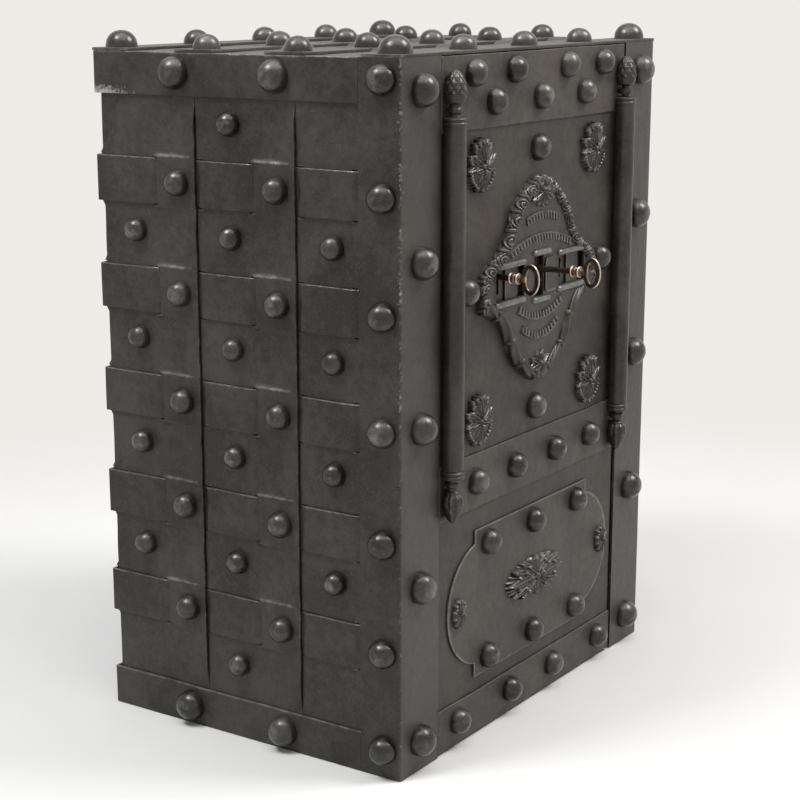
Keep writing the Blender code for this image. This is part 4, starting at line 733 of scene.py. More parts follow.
half = BAND / 2 + EASE
opens, prouds, stops = [], [], [SKIN, WIDTH - SKIN]
for k, (left, right, slit) in enumerate(top_modules()):
    opens.append((slit - SLIT / 2, slit + SLIT / 2))
    prouds.append((slit, min(right, WIDTH - SKIN)))
    if k < 3:
        opens.append((right, right + SLIT))
for a, b in opens:
    stops += list(np.linspace(a, b, 5)) + [a - FINE, b + FINE]
us = lines([s for s in stops if SKIN <= s <= WIDTH - SKIN], 0.014)
levels = [TOP_SHEET_FRONT, DEPTH - SKIN]
for row in TOP_ROWS:
    for side in (-1, 1):
        levels += list(row + side * (half + np.linspace(0, SWELL, 6)))
vs = lines(levels, 0.014)
u, v = np.meshgrid(us, vs, indexing="ij")
off_row = from_nearest(v, TOP_ROWS)
along = np.zeros_like(u)
for slit, right in prouds:
    along = np.maximum(along, step_up((u - slit + SLIT / 2) / SLIT) * (u <= right + SEAT))
swell = along * step_up((half + SWELL - off_row) / SWELL)
depth = SKIN * (1 - swell) + np.maximum(ripple(u, v, 90, 0.0002, 0.1), -0.00015)
middle_u, middle_v = cell_middles(us, vs)
in_row = from_nearest(middle_v, TOP_ROWS) <= half
open_here = np.zeros(middle_u.shape, bool)
wear = np.zeros_like(u)
for a, b in opens:
    open_here |= in_row & (middle_u > a) & (middle_u < b)
    wear = np.maximum(wear, 0.6 * near(u, [a, b], 0.002) * (off_row < half + 0.002))
part = sheet_part(on_face("top", u, depth, v), {"wear": wear}, ~open_here)
add_piece("top_plate", [part], side_iron, "case", ["top_plate"], solid=PLATE, edge=SHEET_EDGE)


def top_strap(name, end, moves, middle, width, seed=None):
    """A strap across the top: its section carried along X, less the depth of its dives. A woven
    one has a seed and wanders a little; a plain one is rubbed at both ends."""
    run, depth, outward = band_run("top", 0.0, end, moves, False)
    section, worn = strap_profile(width)
    sunk = depth[:, None] + section[None, :, 0]
    wander = ripple(run[:, :1], 0, seed, 0.0004, 0.1) if seed else 0 * depth[:, None]
    across = middle + section[None, :, 1] + wander
    rings = run[:, None, :] - outward[:, None, :] * sunk[..., None]
    rings = rings + across[..., None] * np.array([0, 1, 0])
    wear = (0.7 if seed else 0.8) * worn[None, :] + 0 * sunk
    if not seed:
        wear = np.maximum(wear, 0.6 * near(run[:, 0], [-WIDTH / 2, WIDTH / 2], 0.004)[:, None])
    add_piece(name, [shell_part(rings, {"wear": wear})], side_iron, "case", [name])


moves = []
for left, right, slit in top_modules():
    moves += [(slit - SLIT / 2 + SEAT, slit + SLIT / 2 - SEAT, 1), (right + SEAT, right + SLIT - SEAT, -1)]
for k, row in enumerate(TOP_ROWS):
    top_strap("top_woven_band_%d" % (k + 1), WIDTH - SKIN - SLIT, moves[:-1], row, BAND, 92 + k)
for name, low in (("top_front_band", 0.0), ("top_rear_band", DEPTH - TOP_BAND_WIDTH)):
    top_strap(name, WIDTH, [], low + TOP_BAND_WIDTH / 2, TOP_BAND_WIDTH)

# Studs: round-headed nails, forged hot in a dished tool, so that no two are quite alike.
# Small ones hold the plates, large ones the corner plates and the plain bands.
CELL_STUD, SMALL_STUD = (0.0181, 0.0188), (0.0199, 0.0205)
LEAF_STUD, LARGE_STUD, FACE_STUD = (0.0216, 0.0222), (0.0236, 0.0240), (0.0207, 0.0204)
STUD_SIDES, HEAD_POWER = 20, 2.15
CELLS = {4: ROWS[:4] + 0.0858, 6: np.append(ROWS, ROWS[-1] + ROW_PITCH) - 0.0717}
CORNER_STUDS = np.linspace(0.047, 0.953, 5)
FORWARDS, END_LEVELS = (0, -1, 0), (BOTTOM_BAND / 2, HEIGHT - TOP_BAND / 2)
TOP_STUD_INSET = 0.031
TOP_STUDS = TOP_STUD_INSET + (WIDTH - 2 * TOP_STUD_INSET) / 4 * np.arange(5)


def stud_head(centre, outward, size, seed):
    """A head turned about its axis: radius is (1 - height share to a power) to its root."""
    radius, height = size
    draw = np.random.default_rng(seed)
    share = np.sin(np.linspace(0, math.pi / 2, 9)[:-1]) ** 0.92
    share = np.append(np.append(-0.06, share), 0.9985)
    spread = np.clip(1 - np.clip(share, 0, 1) ** HEAD_POWER, 0, 1) ** (1 / HEAD_POWER)
    turn = np.linspace(0, math.tau, STUD_SIDES, endpoint=False)
    lobes = 1 - 0.010 + 0.010 * np.cos(3 * turn + draw.uniform(0, 6))
    outward = np.array(outward, float)
    side = np.cross(outward, [0, 0, 1]) if abs(outward[2]) < 0.5 else np.array([1.0, 0, 0])
    up = np.cross(outward, side)
    lean = draw.uniform(-0.0006, 0.0006, 2)
    a = radius * spread[:, None] * lobes * np.cos(turn) + lean[0] * share[:, None]
    b = radius * spread[:, None] * lobes * np.sin(turn) + lean[1] * share[:, None]
    rings = (np.array(centre, float) + a[..., None] * side + b[..., None] * up
             + height * share[:, None, None] * outward)
    crown = 0.46 * np.clip(share, 0, 1) ** 3 * draw.uniform(0.5, 1.15)
    foot = 0.30 * (share < 0.12)
    return shell_part(rings, {"wear": (crown + foot)[:, None]})


def stud_set(name, places, body, seed):
    """A set of heads on one body: places are (point, outward direction, size)."""
    parts = [stud_head(*place, seed + k) for k, place in enumerate(places)]
    add_piece(name, parts, stud_iron, body)


for number, (side, sign) in enumerate((("left", -1), ("right", 1))):
    places = []
    for k, (left, right, slit) in enumerate(side_plates()):
        reach = right if slit else left + SIDE_PITCH
        if slit:
            y = BACK - (right - (right - left) * BAND_STUD_SHARE)
            places += [((sign * WIDTH / 2, y, z), (sign, 0, 0), SMALL_STUD) for z in ROWS]
            places += [((sign * WIDTH / 2, y, z), (sign, 0, 0), LARGE_STUD) for z in END_LEVELS]
        y = BACK - (left + (reach - left) * CELL_STUD_SHARE)
        places += [((sign * (WIDTH / 2 - SKIN), y, z), (sign, 0, 0), CELL_STUD)
                   for z in CELLS[6 if k == 1 else 4]]
    stud_set(side + "_side_studs", places, "case", 1000 + 100 * number)
    places = [((sign * WIDTH / 2, FRONT + 0.0288, z), (sign, 0, 0), LEAF_STUD)
              for z in (0.042, *ROWS, HEIGHT - TOP_BAND / 2)]
    places += [((sign * (WIDTH - FRONT_LEAF) / 2, FRONT, z), FORWARDS, LARGE_STUD) for z in CORNER_STUDS]
    stud_set(side + "_corner_studs", places, "case", 1200 + 100 * number)

places = []
for k, (left, right, slit) in enumerate(back_plates()):
    reach = right - SLIT if k == 2 else right
    x = WIDTH / 2 - (reach - (reach - left) * BAND_STUD_SHARE)
    places += [((x, BACK, z), (0, 1, 0), SMALL_STUD) for z in ROWS]
    x = WIDTH / 2 - (right - (right - left) * BAND_STUD_SHARE)
    places += [((x, BACK, z), (0, 1, 0), LARGE_STUD) for z in END_LEVELS]
    x = WIDTH / 2 - (left + (reach - left) * CELL_STUD_SHARE)
    places += [((x, BACK - SKIN, z), (0, 1, 0), CELL_STUD) for z in CELLS[6 if k == 1 else 4]]
stud_set("back_studs", places, "case", 1500)

places = [((u - WIDTH / 2, FRONT + v, HEIGHT), (0, 0, 1), SMALL_STUD) for u in TOP_STUDS for v in TOP_ROWS]
places += [((u - WIDTH / 2, FRONT + v, HEIGHT), (0, 0, 1),
            LARGE_STUD if u in TOP_STUDS[[0, 4]] else SMALL_STUD)
           for u in TOP_STUDS for v in (TOP_INSET, DEPTH - TOP_INSET)]
stud_set("top_studs", places, "case", 1600)

# Door leaf: a face sheet, three flat bands riveted across it, an oak core and an inner
# sheet. The face is browner and smoother than the strapwork. It swings with the door.
DOOR_BAND = 0.003
DOOR_LEFT, DOOR_RIGHT = -0.267, 0.2625
DOOR_FOOT, DOOR_TOP = 0.0055, 0.9945
UPPER_FOOT, LOWER_LOW, LOWER_HIGH, FOOT_TOP = 0.893, 0.352, 0.433, 0.069
FACE_FRONT = -0.2617

dress(inner_iron, 0.0006, "door_inner_sheet")


def flat_plate(low_x, high_x, low_z, high_z, front, seed):
    """A flat rectangle on a grid whose edges wander and whose middle is slightly dished."""
    us = lines([low_x, low_x + 0.0015, high_x - 0.0015, high_x], 0.010)
    vs = lines([low_z, low_z + 0.0015, high_z - 0.0015, high_z], 0.010)
    u, v = np.meshgrid(us, vs, indexing="ij")
    share = (v - low_z) / (high_z - low_z)
    wander = np.clip(ripple(u, 0, seed, 0.0005, 0.13), -0.0006, 0.0006) * (2 * share - 1)
    depth = front - FRONT + np.clip(ripple(u, v, seed + 1, 0.0002, 0.1), 0, 0.0004)
    wear = np.maximum(0.50 * near(v, [low_z, high_z], 0.0022), 0.30 * near(u, [low_x, high_x], 0.0022))
    return sheet_part(on_face("front", u, depth, v + wander), {"wear": wear})


KEY_LEVEL, KEYHOLE_DROP, KEYHOLE_HALF, SHANK_HOLE = 0.680, 0.026, 0.003, 0.0048
KEYHOLES = (-0.10997, -0.0079, 0.0720)
FINE_ROUND = np.linspace(-0.0056, 0.0056, 15)


def face_plate():
    """The face sheet on a grid that is fine round the keyholes, whose cells are left out: a
    round hole for the shank over a slot for the bit."""
    low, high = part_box("door_face_plate")
    us, vs = [low[0], low[0] + 0.0015, high[0] - 0.0015, high[0]], [low[2], low[2] + 0.0015, high[2]]
    for x in KEYHOLES:
        us += list(x + FINE_ROUND) + [x - KEYHOLE_HALF, x + KEYHOLE_HALF]
    vs += list(KEY_LEVEL + FINE_ROUND) + [KEY_LEVEL - KEYHOLE_DROP]
    us, vs = lines(us, 0.012), lines(vs, 0.012)
    u, v = np.meshgrid(us, vs, indexing="ij")
    x, z = cell_middles(us, vs)
    keep = np.ones(x.shape, bool)
    for hole in KEYHOLES:
        slot = (np.abs(x - hole) < KEYHOLE_HALF) & (z < KEY_LEVEL) & (z > KEY_LEVEL - KEYHOLE_DROP)
        keep &= ~(slot | (np.hypot(x - hole, z - KEY_LEVEL) < SHANK_HOLE))
    depth = FACE_FRONT - FRONT + np.clip(ripple(u, v, 97, 0.0002, 0.1), 0, 0.0003)
    wear = 0.30 * near(v, [low[2], high[2]], 0.003)
    return sheet_part(on_face("front", u, depth, v), {"wear": wear}, keep)


# The recessed face sheet takes the darker copy of the door iron: painted shade.
add_piece("door_face_plate", [face_plate()], shaded_panel_iron, "door", ["door_face_plate"],
          solid=PLATE, edge=0.0006)

BANDS = {"door_upper_band": (UPPER_FOOT, DOOR_TOP), "door_lower_band": (LOWER_LOW, LOWER_HIGH),
         "door_foot_band": (DOOR_FOOT, FOOT_TOP)}
for k, (name, (low, high)) in enumerate(BANDS.items()):
    part = flat_plate(DOOR_LEFT, DOOR_RIGHT, low, high, FRONT, 100 + 3 * k)
    add_piece(name, [part], door_iron, "door", [name], solid=DOOR_BAND, edge=0.0008)

# Cartouche: a raised plate on the lower panel, a rectangle with a round ear at each end,
# cut from sheet, with three studs above and three below.
CARTOUCHE_MIDDLE, CARTOUCHE_HALF = 0.205, (0.169, 0.113)
EAR_CENTRE, EAR_RADIUS, EAR_REACH = 0.149, 0.094, 0.0925
CARTOUCHE_FRONT = -0.265


def cartouche_outline():
    """The right half's corner, step and ear arc in dense points, then the same turned half
    round, so that the whole outline runs anticlockwise."""
    half_turn = math.asin(EAR_REACH / EAR_RADIUS)
    turn = np.linspace(-half_turn, half_turn, 49)
    ear = np.stack([np.maximum(EAR_CENTRE + EAR_RADIUS * np.cos(turn), CARTOUCHE_HALF[0]),
                    EAR_RADIUS * np.sin(turn)], -1)
    wide, tall = CARTOUCHE_HALF
    rise = np.stack([np.full(5, wide), np.linspace(-tall, -EAR_REACH, 5)], -1)[:-1]
    top = np.stack([np.linspace(wide, -wide, 33), np.full(33, tall)], -1)[:-1]
    half = np.concatenate([rise, ear, rise[::-1] * [1, -1], top])
    keep = np.append(True, np.linalg.norm(np.diff(half, axis=0), axis=1) > 1e-6)
    half = half[keep]
    return np.concatenate([half, -half])


def disc_part(rings, wear):
    """Rings of points, one inside another from the outline in, facing forwards, with one face
    in the middle."""
    n, m = rings.shape[:2]
    quads = grid_quads(n, m, around=True)[..., [0, 3, 2, 1]].reshape(-1, 4).tolist()
    middle = list(range((n - 1) * m, n * m))
    return rings.reshape(-1, 3), quads + [middle], {"wear": np.broadcast_to(wear, (n, m)).reshape(-1)}


shares = np.array([1.0, 0.992, 0.975, 0.93, 0.85, 0.7, 0.5, 0.3, 0.1])
grid = cartouche_outline()[None] * shares[:, None, None]
points = on_face("front", grid[..., 0], CARTOUCHE_FRONT - FRONT, CARTOUCHE_MIDDLE + grid[..., 1])
wear = np.where(shares > 0.99, 0.66, np.where(shares > 0.97, 0.25, 0.0))[:, None]
add_piece("cartouche_plate", [disc_part(points, wear)], door_iron, "door",
          ["cartouche_plate"], solid=DOOR_BAND, edge=0.0008)

DOOR_STUDS = ((0.970, (-0.187, -0.077, 0.077, 0.187)), (0.929, (-0.131, 0, 0.131)),
              ((LOWER_LOW + LOWER_HIGH) / 2, (-0.170, -0.060, 0.060, 0.170)),
              (FOOT_TOP - 0.028, (-0.215, -0.065, 0.065, 0.215)))
places = [((x, FRONT, z), FORWARDS, SMALL_STUD) for z, row in DOOR_STUDS for x in row]
places += [((x, FACE_FRONT, z), FORWARDS, FACE_STUD)
           for x, z in ((0, 0.856), (0, 0.471), (-0.198, 0.670), (0.198, 0.670))]
places += [((x, CARTOUCHE_FRONT, z), FORWARDS, SMALL_STUD)
           for x in (-0.133, 0, 0.133) for z in (0.117, 0.293)]
stud_set("door_studs", places, "door", 1700)

# Cast ornaments: four leafy rosettes, a leafy oval and two small leafy bosses. Iron, cast
# in sand from carved patterns and riveted on, so their leaves are crisp but unpolished.
MM = 0.001


def leaf(x, z, root, tip, width, rise, teeth=3.0):
    """Height of a pointed leaf: a pointed oval from root to tip, hollow between a raised rim
    and a raised midrib, with a few broad teeth along its edge."""
    run = (tip[0] - root[0], tip[1] - root[1])
    length = math.hypot(*run)
    a = ((x - root[0]) * run[0] + (z - root[1]) * run[1]) / length ** 2
    b = ((z - root[1]) * run[0] - (x - root[0]) * run[1]) / length / width
    inside = np.clip(a, 0, 1)
    reach = np.sin(math.pi * inside ** 0.75) ** 0.70
    reach = reach * (1 - 0.16 * (0.5 + 0.5 * np.cos(math.tau * teeth * (inside - 0.2 * np.abs(b)))))
    share = np.abs(b) / np.maximum(reach, 0.02)
    body = np.clip(1 - share ** 4, 0, 1) ** 0.5
    rim = 0.26 * np.exp(-(((share - 0.72) / 0.20) ** 2))
    rib = 0.24 * np.exp(-((b / 0.15) ** 2))
    height = rise * body * (0.72 + rim + rib) * (1 - 0.18 * inside)
    return np.where((a > 0) & (a < 1) & (share < 1), height, -1.0)


def roll(x, z, centre, radius, rise, hand):
    """Height of a rolled leaf end: a flat dome with a spiral groove from its rim to its eye."""
    off_x, off_z = hand * (x - centre[0]), z - centre[1]
    out = np.hypot(off_x, off_z) / radius
    place = (np.arctan2(off_z, off_x) / math.tau - 1.5 * out) % 1.0
    groove = np.exp(-(((place - 0.5) / 0.15) ** 2)) * np.clip((out - 0.12) / 0.1, 0, 1) * (out < 0.93)
    dome = np.sqrt(np.clip(1 - out ** 4, 0, 1)) + 0.10 * np.clip(1 - (out / 0.3) ** 2, 0, 1)
    return np.where(out < 1, rise * dome - 2.3 * groove, -1.0)


def bead(x, z, centre, radius, rise):
    """Height of a round bead."""
    off = np.hypot(x - centre[0], z - centre[1]) / radius
    return np.where(off < 1, rise * np.clip(1 - off ** 2, 0, 1) ** 0.5, -1.0)


def dome(oval, rise):
    """Height of a flat dome over an oval that is 1 at its edge."""
    return np.where(oval < 1, rise * np.sqrt(np.clip(1 - oval ** 4, 0, 1)), -1.0)


def carve(x, z, height, *forms):
    """The greatest of a height and of every form's: a form is its function and its values."""
    for height_of, *values in forms:
        height = np.maximum(height, height_of(x, z, *values))
    return height


def both_sides(*forms):
    """The forms and their mirror images, which have the x of every point turned round."""
    return forms + tuple(tuple((-value[0], value[1]) if isinstance(value, tuple) else value for value in form)
                         for form in forms)


def relief_marks(height, scale, reach=2, rubbing=0.66):
    """Wear on what stands higher than its surroundings, and painted shade in what lies lower."""
    around = (np.roll(height, 2, 0) + np.roll(height, -2, 0) + np.roll(height, reach, 1)
              + np.roll(height, -reach, 1)) / 4
    rise = np.clip((height - around) / scale, -1, 1)
    return {"relief": np.minimum(rise, 0), "wear": rubbing * np.clip(rise, 0, 1) ** 0.7}


def carved_part(centre, half, base, height_of, rings, sides):
    """A casting on the front: rings of points round its centre, each as far forward as
    height_of says for its place in millimetres, closed by a flat back behind the base."""
    share = np.append(np.linspace(0.015, 1.0, rings), [1.0, 0.5])[:, None]
    turn = np.linspace(0, math.tau, sides, endpoint=False)[None, :]
    x, z = half[0] * share * np.cos(turn), half[1] * share * np.sin(turn)
    height = height_of(x / MM, z / MM)
    height[-2:] = -1.2
    marks = relief_marks(height[:-2], 1.3, 4, 0.62)
    for key, value in marks.items():
        value[:3] = 0
        marks[key] = np.concatenate([value, np.zeros((2, sides))])
    return shell_part(np.stack([centre[0] + x, base - height * MM, centre[1] + z], -1), marks)


def rosette_height(x, z):
    """An egg-shaped boss: a plume of upright leaves over two broad cupped ones, a spray of
    three berries, four leaves below it, a beaded edge and a short tail."""
    wide = (30.5 - 0.02 * z) * (1 + 0.025 * np.cos(15 * np.arctan2(z, x)))
    edge = [(bead, (29 - 14 * share ** 1.6, -13 - 17 * share), 3.1, 10.0) for share in np.linspace(0, 1, 5)]
    return carve(x, z, dome(np.hypot(x / np.maximum(wide, 1), (z + 5.5) / 28.5), 9.0), *both_sides(
        *edge, (leaf, (3, 8), (11.5, 37.0), 6.5, 13.5, 2.0), (leaf, (9, 8), (21.5, 31.5), 6.5, 12.0, 2.0),
        (leaf, (14, 2), (35.0, 14.0), 7.5, 10.5, 2.0), (leaf, (14, -4), (34.5, -8.0), 7.5, 10.5, 2.0),
        (leaf, (5, -18), (13.0, -36.5), 6.0, 10.5, 2.0), (leaf, (2, 0), (24, 15), 9.5, 13.5, 1.0),
        (leaf, (1, -3), (22, -7), 8.5, 13.4, 1.0), (leaf, (1, -6), (13, -22), 8.0, 12.8, 1.0),
        (bead, (4.6, -0.5), 4.8, 15.6)),
        (leaf, (0, 6), (0, 38.5), 8.0, 15.0, 2.0), (leaf, (0, -14), (0, -38.0), 7.0, 12.5, 2.0),
        (bead, (0, -8.5), 4.8, 15.6))


def oval_height(x, z):
    """A domed oval with a scalloped edge, ribbed like a shell from both ends' middles, under
    leaves that run out along it, with rolls and beads between them."""
    ribs = np.cos(26 * np.arctan2(z / 31, x / 84))
    oval = np.hypot(x / 84, z / 31) / (1 - 0.035 + 0.035 * ribs)
    height = np.where(oval < 1, dome(oval, 8.6) + 0.9 * ribs * (oval > 0.45) - 0.6, -1.0)
    beads = [(bead, place, 4.8, 13.2) for place in ((33, 12), (34, -12))]
    beads += [(bead, place, 4.2, 13.2) for place in ((52, 9), (53, -9), (24, 19), (24, -19))]
    return carve(x, z, height, *both_sides(
        *beads, (leaf, (8, 0), (79, 1), 10, 13.0), (leaf, (12, 5), (66, 20), 9, 12.0),
        (leaf, (12, -5), (66, -19), 9, 12.0), (leaf, (4, 6), (42, 28), 9, 11.5),
        (leaf, (4, -6), (42, -28), 9, 11.5)),
        (roll, (18, 0), 9.5, 13.6, 1), (roll, (-18, 0), 9.5, 13.6, -1),
        (leaf, (0, 5), (0, 31), 10, 12.5, 2.0), (leaf, (0, -5), (0, -31), 10, 12.5, 2.0),
        (bead, (0, 0), 8.0, 14.8))


def boss_height(x, z):
    """A small upright oval: six leaves round a berry, inside a ring of beads."""
    ring = [(bead, (13.6 * math.cos(turn), 19.6 * math.sin(turn)), 3.0, 8.6)
            for turn in math.tau * (np.arange(12) + 0.5) / 12]
    return carve(x, z, dome(np.hypot(x / 15.5, z / 22.0), 7.4), *ring, *both_sides(
        (leaf, (1, 1), (13, 10), 5.5, 11.0, 1.0), (leaf, (1, -3), (12, -13), 5.0, 10.5, 1.0)),
        (leaf, (0, 3), (0, 22.5), 6.0, 11.5, 2.0), (leaf, (0, -3), (0, -22.5), 6.0, 11.5, 2.0),
        (bead, (0, 0), 4.6, 13.0))


def add_casting(name, parts, replaced, material=cast_iron, sharp=75):
    """A casting fixed to the door, whose creases under the sharp angle are smooth."""
    add_piece(name, parts, material, "door", replaced, sharp=sharp)


for name, x, z in (("rosette_upper_left", -0.165, 0.843), ("rosette_upper_right", 0.165, 0.843),
                   ("rosette_lower_left", -0.165, 0.482), ("rosette_lower_right", 0.165, 0.482)):
    add_casting(name, [carved_part((x, z), (0.039, 0.039), FACE_FRONT, rosette_height, 44, 200)], [name])
part = carved_part((0, CARTOUCHE_MIDDLE), (0.087, 0.034), CARTOUCHE_FRONT - 0.0003, oval_height, 46, 280)
add_casting("cartouche_ornament", [part], ["cartouche_ornament"])
parts = [carved_part((x, 0.206), (0.0180, 0.0232), CARTOUCHE_FRONT, boss_height, 32, 130)
         for x in (-0.218, 0.218)]
add_casting("cartouche_bosses", parts, ())

# Medallion: a lozenge cast in one piece with its garland, six half-round rods and four reeded
# arcs, pierced by three windows for the locks. Cast iron, bolted through the face sheet.
MEDALLION_LEVEL, WINDOW_LEVEL = 0.664, 0.6675
GARLAND_BACK, FIELD_FRONT, FIELD_PLATE = -0.2620, -0.270, 0.0042
MEDALLION_HALF = (0.172, 0.155)
QUARTER_SHARES = ((1.0, 0.0), (0.985, 0.10), (0.88, 0.23), (0.71, 0.32), (0.585, 0.45),
                  (0.52, 0.62), (0.40, 0.78), (0.25, 0.90), (0.12, 0.985), (0.0, 1.0))
GARLAND_FOOT, GARLAND_HALF, GARLAND_RISE, FIELD_RISE, INNER_RISE = 2.6, 8.6, 13.6, 7.4, 4.0
GARLAND_SIDES, SPIN = 44, 1100
WINDOWS = ((-0.128, 0.080, 0.0225, 0.080), (-0.020, 0.028, 0.030, 0.046), (0.054, 0.080, 0.0225, 0.080))
ROD_RADIUS = 0.005


def loop_part(rings, marks):
    """A closed tube whose rings run round a closed path, turned so that it faces outwards."""
    n, m = rings.shape[:2]
    quads = grid_quads(n, m, around=True, back=True).reshape(-1, 4)
    points = rings.reshape(-1, 3)
    marks = {key: np.broadcast_to(value, (n, m)).reshape(-1) for key, value in marks.items()}
    return points, outward_faces(points, quads), marks


def spaced_evenly(points, count):
    """Points spaced evenly along the closed line through the given ones."""
    closed = np.vstack([points, points[:1]])
    length = distance_along(closed)
    even = np.linspace(0, length[-1], count, endpoint=False)
    return np.stack([np.interp(even, length, closed[:, k]) for k in range(2)], -1)


def lozenge_outline(count):
    """The quarter's shares mirrored twice, their corners cut off three times a quarter of the
    way in, then spaced evenly: points anticlockwise from the right end."""
    quarter = np.array(QUARTER_SHARES) * MEDALLION_HALF
    points = np.concatenate([quarter[:-1], (quarter * [-1, 1])[::-1][:-1], -quarter[:-1],
                             (quarter * [1, -1])[::-1][:-1]])
    for _ in range(3):
        after = np.roll(points, -1, axis=0)
        points = np.stack([0.75 * points + 0.25 * after, 0.25 * points + 0.75 * after], 1).reshape(-1, 2)
    return spaced_evenly(points, count)


def garland_carving(run, across, level):
    """Carving of the garland in millimetres, from the run along it, the place across its
    section (-1 at the outer foot, 1 at the inner one) and the level: rolled scrolls between
    oblique ties above, long twisted flutes between collars below."""
    cell, flute, tie_half, collar_half = 31.0, 52.0, 2.7, 2.8
    slanted = run / cell + 0.13 * across
    along = 2 * (slanted % 1.0) - 1
    number = np.floor(slanted)
    hand = np.where(number % 2 == 0, 1.0, -1.0)
    from_tie = (1 - np.abs(along)) * cell / 2
    tie = 1.9 * np.sqrt(np.clip(1 - (from_tie / tie_half) ** 2, 0, 1))
    off_x, off_z = along * cell / 2, hand * across * 14.0
    turn = np.arctan2(off_z + 2.0, off_x)
    radius = np.hypot(off_x, off_z + 2.0)
    spiral = radius - (2.2 + 5.4 * ((turn / math.tau + 0.5) % 1.0))
    spiral = np.minimum(np.abs(spiral), np.abs(spiral - 5.4)) / 1.9
    scroll = 2.3 * np.sqrt(np.clip(1 - spiral ** 2, 0, 1)) - 0.7
    sprig = np.exp(-(((off_z - 8.0 - 0.35 * off_x) / 1.7) ** 2)) * 1.9 - 0.7
    sprig = np.maximum(sprig, np.exp(-(((off_z - 12.0 + 0.40 * off_x) / 1.5) ** 2)) * 1.5 - 0.7)
    scroll = np.where(radius < 11.0, np.maximum(scroll, -0.7), sprig)
    upper = np.where(from_tie < tie_half, tie, np.where(from_tie < 3.8, -0.9, scroll))
    horn = (run / flute) % 1.0
    from_collar = (0.5 - np.abs(horn - 0.5)) * flute
    flutes = 1.3 * np.sin(math.pi * horn) - 0.9 + 0.8 * np.cos(across * 8.5 + run / 9.0)
    collar = 1.6 * np.sqrt(np.clip(1 - (from_collar / collar_half) ** 2, 0, 1))
    lower = np.where(from_collar < collar_half, collar, flutes)
    share = step_up((level + 10.0) / 10.0)
    fade = np.clip((1.02 - np.abs(across)) / 0.14, 0, 1)
    return (lower + (upper - lower) * share) * fade


outline = lozenge_outline(SPIN)
tangent = np.roll(outline, -3, 0) - np.roll(outline, 3, 0)
tangent /= np.linalg.norm(tangent, axis=1)[:, None]
for _ in range(14):
    tangent = (np.roll(tangent, 3, 0) + 2 * tangent + np.roll(tangent, -3, 0)) / 4
tangent /= np.linalg.norm(tangent, axis=1)[:, None]
inwards = np.stack([-tangent[:, 1], tangent[:, 0]], -1)
run = distance_along(outline) / MM
half_length, quarter_length = run[SPIN // 2], run[SPIN // 4]
from_top = np.abs(run - quarter_length)
from_top = np.minimum(from_top, 2 * half_length - from_top)[:, None]
# The section is a half oval: its outer quarter falls to the door's face, its inner one to the field.
arc = np.linspace(-math.pi / 2, math.pi / 2, GARLAND_SIDES)[None, :]
drop = np.where(arc < 0, GARLAND_RISE, GARLAND_RISE - FIELD_RISE + 1.6)
lift = GARLAND_RISE - drop * (1 - np.cos(arc))
carving = garland_carving(from_top + 9.0, arc / (math.pi / 2), outline[:, 1:] / MM)
lean = np.stack([np.sin(arc) / GARLAND_HALF, np.cos(arc) / drop], -1)
lean /= np.linalg.norm(lean, axis=-1)[..., None]
inward = GARLAND_FOOT + GARLAND_HALF * (1 + np.sin(arc)) + carving * lean[..., 0]
height = lift + carving * lean[..., 1]
ends = np.ones((SPIN, 1))
inward = np.hstack([inward, ends * (GARLAND_FOOT + GARLAND_HALF * np.array([2, 1, 0]))])
height = np.hstack([height, ends * [INNER_RISE, INNER_RISE, -0.3]])
place = outline[:, None, :] + inwards[:, None, :] * (np.maximum(inward, 0.3)[..., None] * MM)
rings = np.stack([place[..., 0], GARLAND_BACK - height * MM, MEDALLION_LEVEL + place[..., 1]], -1)
marks = relief_marks(np.hstack([carving, np.zeros((SPIN, 3))]), 0.9)
for value in marks.values():
    value[:, -4:] = 0
garland = loop_part(rings, marks)

wide, tall = MEDALLION_HALF
rise = WINDOW_LEVEL - MEDALLION_LEVEL
stops_x, stops_z = [-wide, wide], [-tall, tall]
for left, width, half, rod in WINDOWS:
    for step in (0, 0.0015, 0.003):
        stops_x += [left - step, left + width + step]
        stops_z += [rise - half - step, rise + half + step]
xs, zs = lines(stops_x, 0.0055), lines(stops_z, 0.0055)
x, z = np.meshgrid(xs, zs, indexing="ij")
middle_x, middle_z = cell_middles(xs, zs)
angle = np.arctan2(middle_z / tall, middle_x / wide)
edge_angle = np.arctan2(outline[:, 1] / tall, outline[:, 0] / wide)
order = np.argsort(edge_angle)
reach = np.interp(angle, edge_angle[order], np.hypot(*outline.T)[order], period=math.tau)
edge_gap = np.hypot(middle_x[..., None] - outline[::8, 0], middle_z[..., None] - outline[::8, 1]).min(-1)
keep = (np.hypot(middle_x, middle_z) < reach) & (edge_gap > 0.0105)
lip = np.zeros_like(x)
for a, width, half, rod in WINDOWS:
    b = a + width
    keep &= ~((middle_x > a) & (middle_x < b) & (np.abs(middle_z - rise) < half))
    off = np.hypot(np.maximum(np.maximum(a - x, x - b), 0), np.maximum(np.abs(z - rise) - half, 0))
    lip = np.maximum(lip, np.clip(1 - (off / 0.0032) ** 2, 0, 1) ** 0.5)
sunk = FIELD_FRONT - 0.0007 * lip + np.clip(ripple(x, z, 140, 0.00025, 0.05), -0.0002, 0.0003)
points = np.stack([x, sunk, MEDALLION_LEVEL + z], -1)
field = sheet_part(points, {"wear": 0.30 * (lip > 0.8)}, keep)
add_piece("medallion_field", [field], cast_iron, "door", ["medallion"],
          solid=FIELD_PLATE, edge=0.0005)


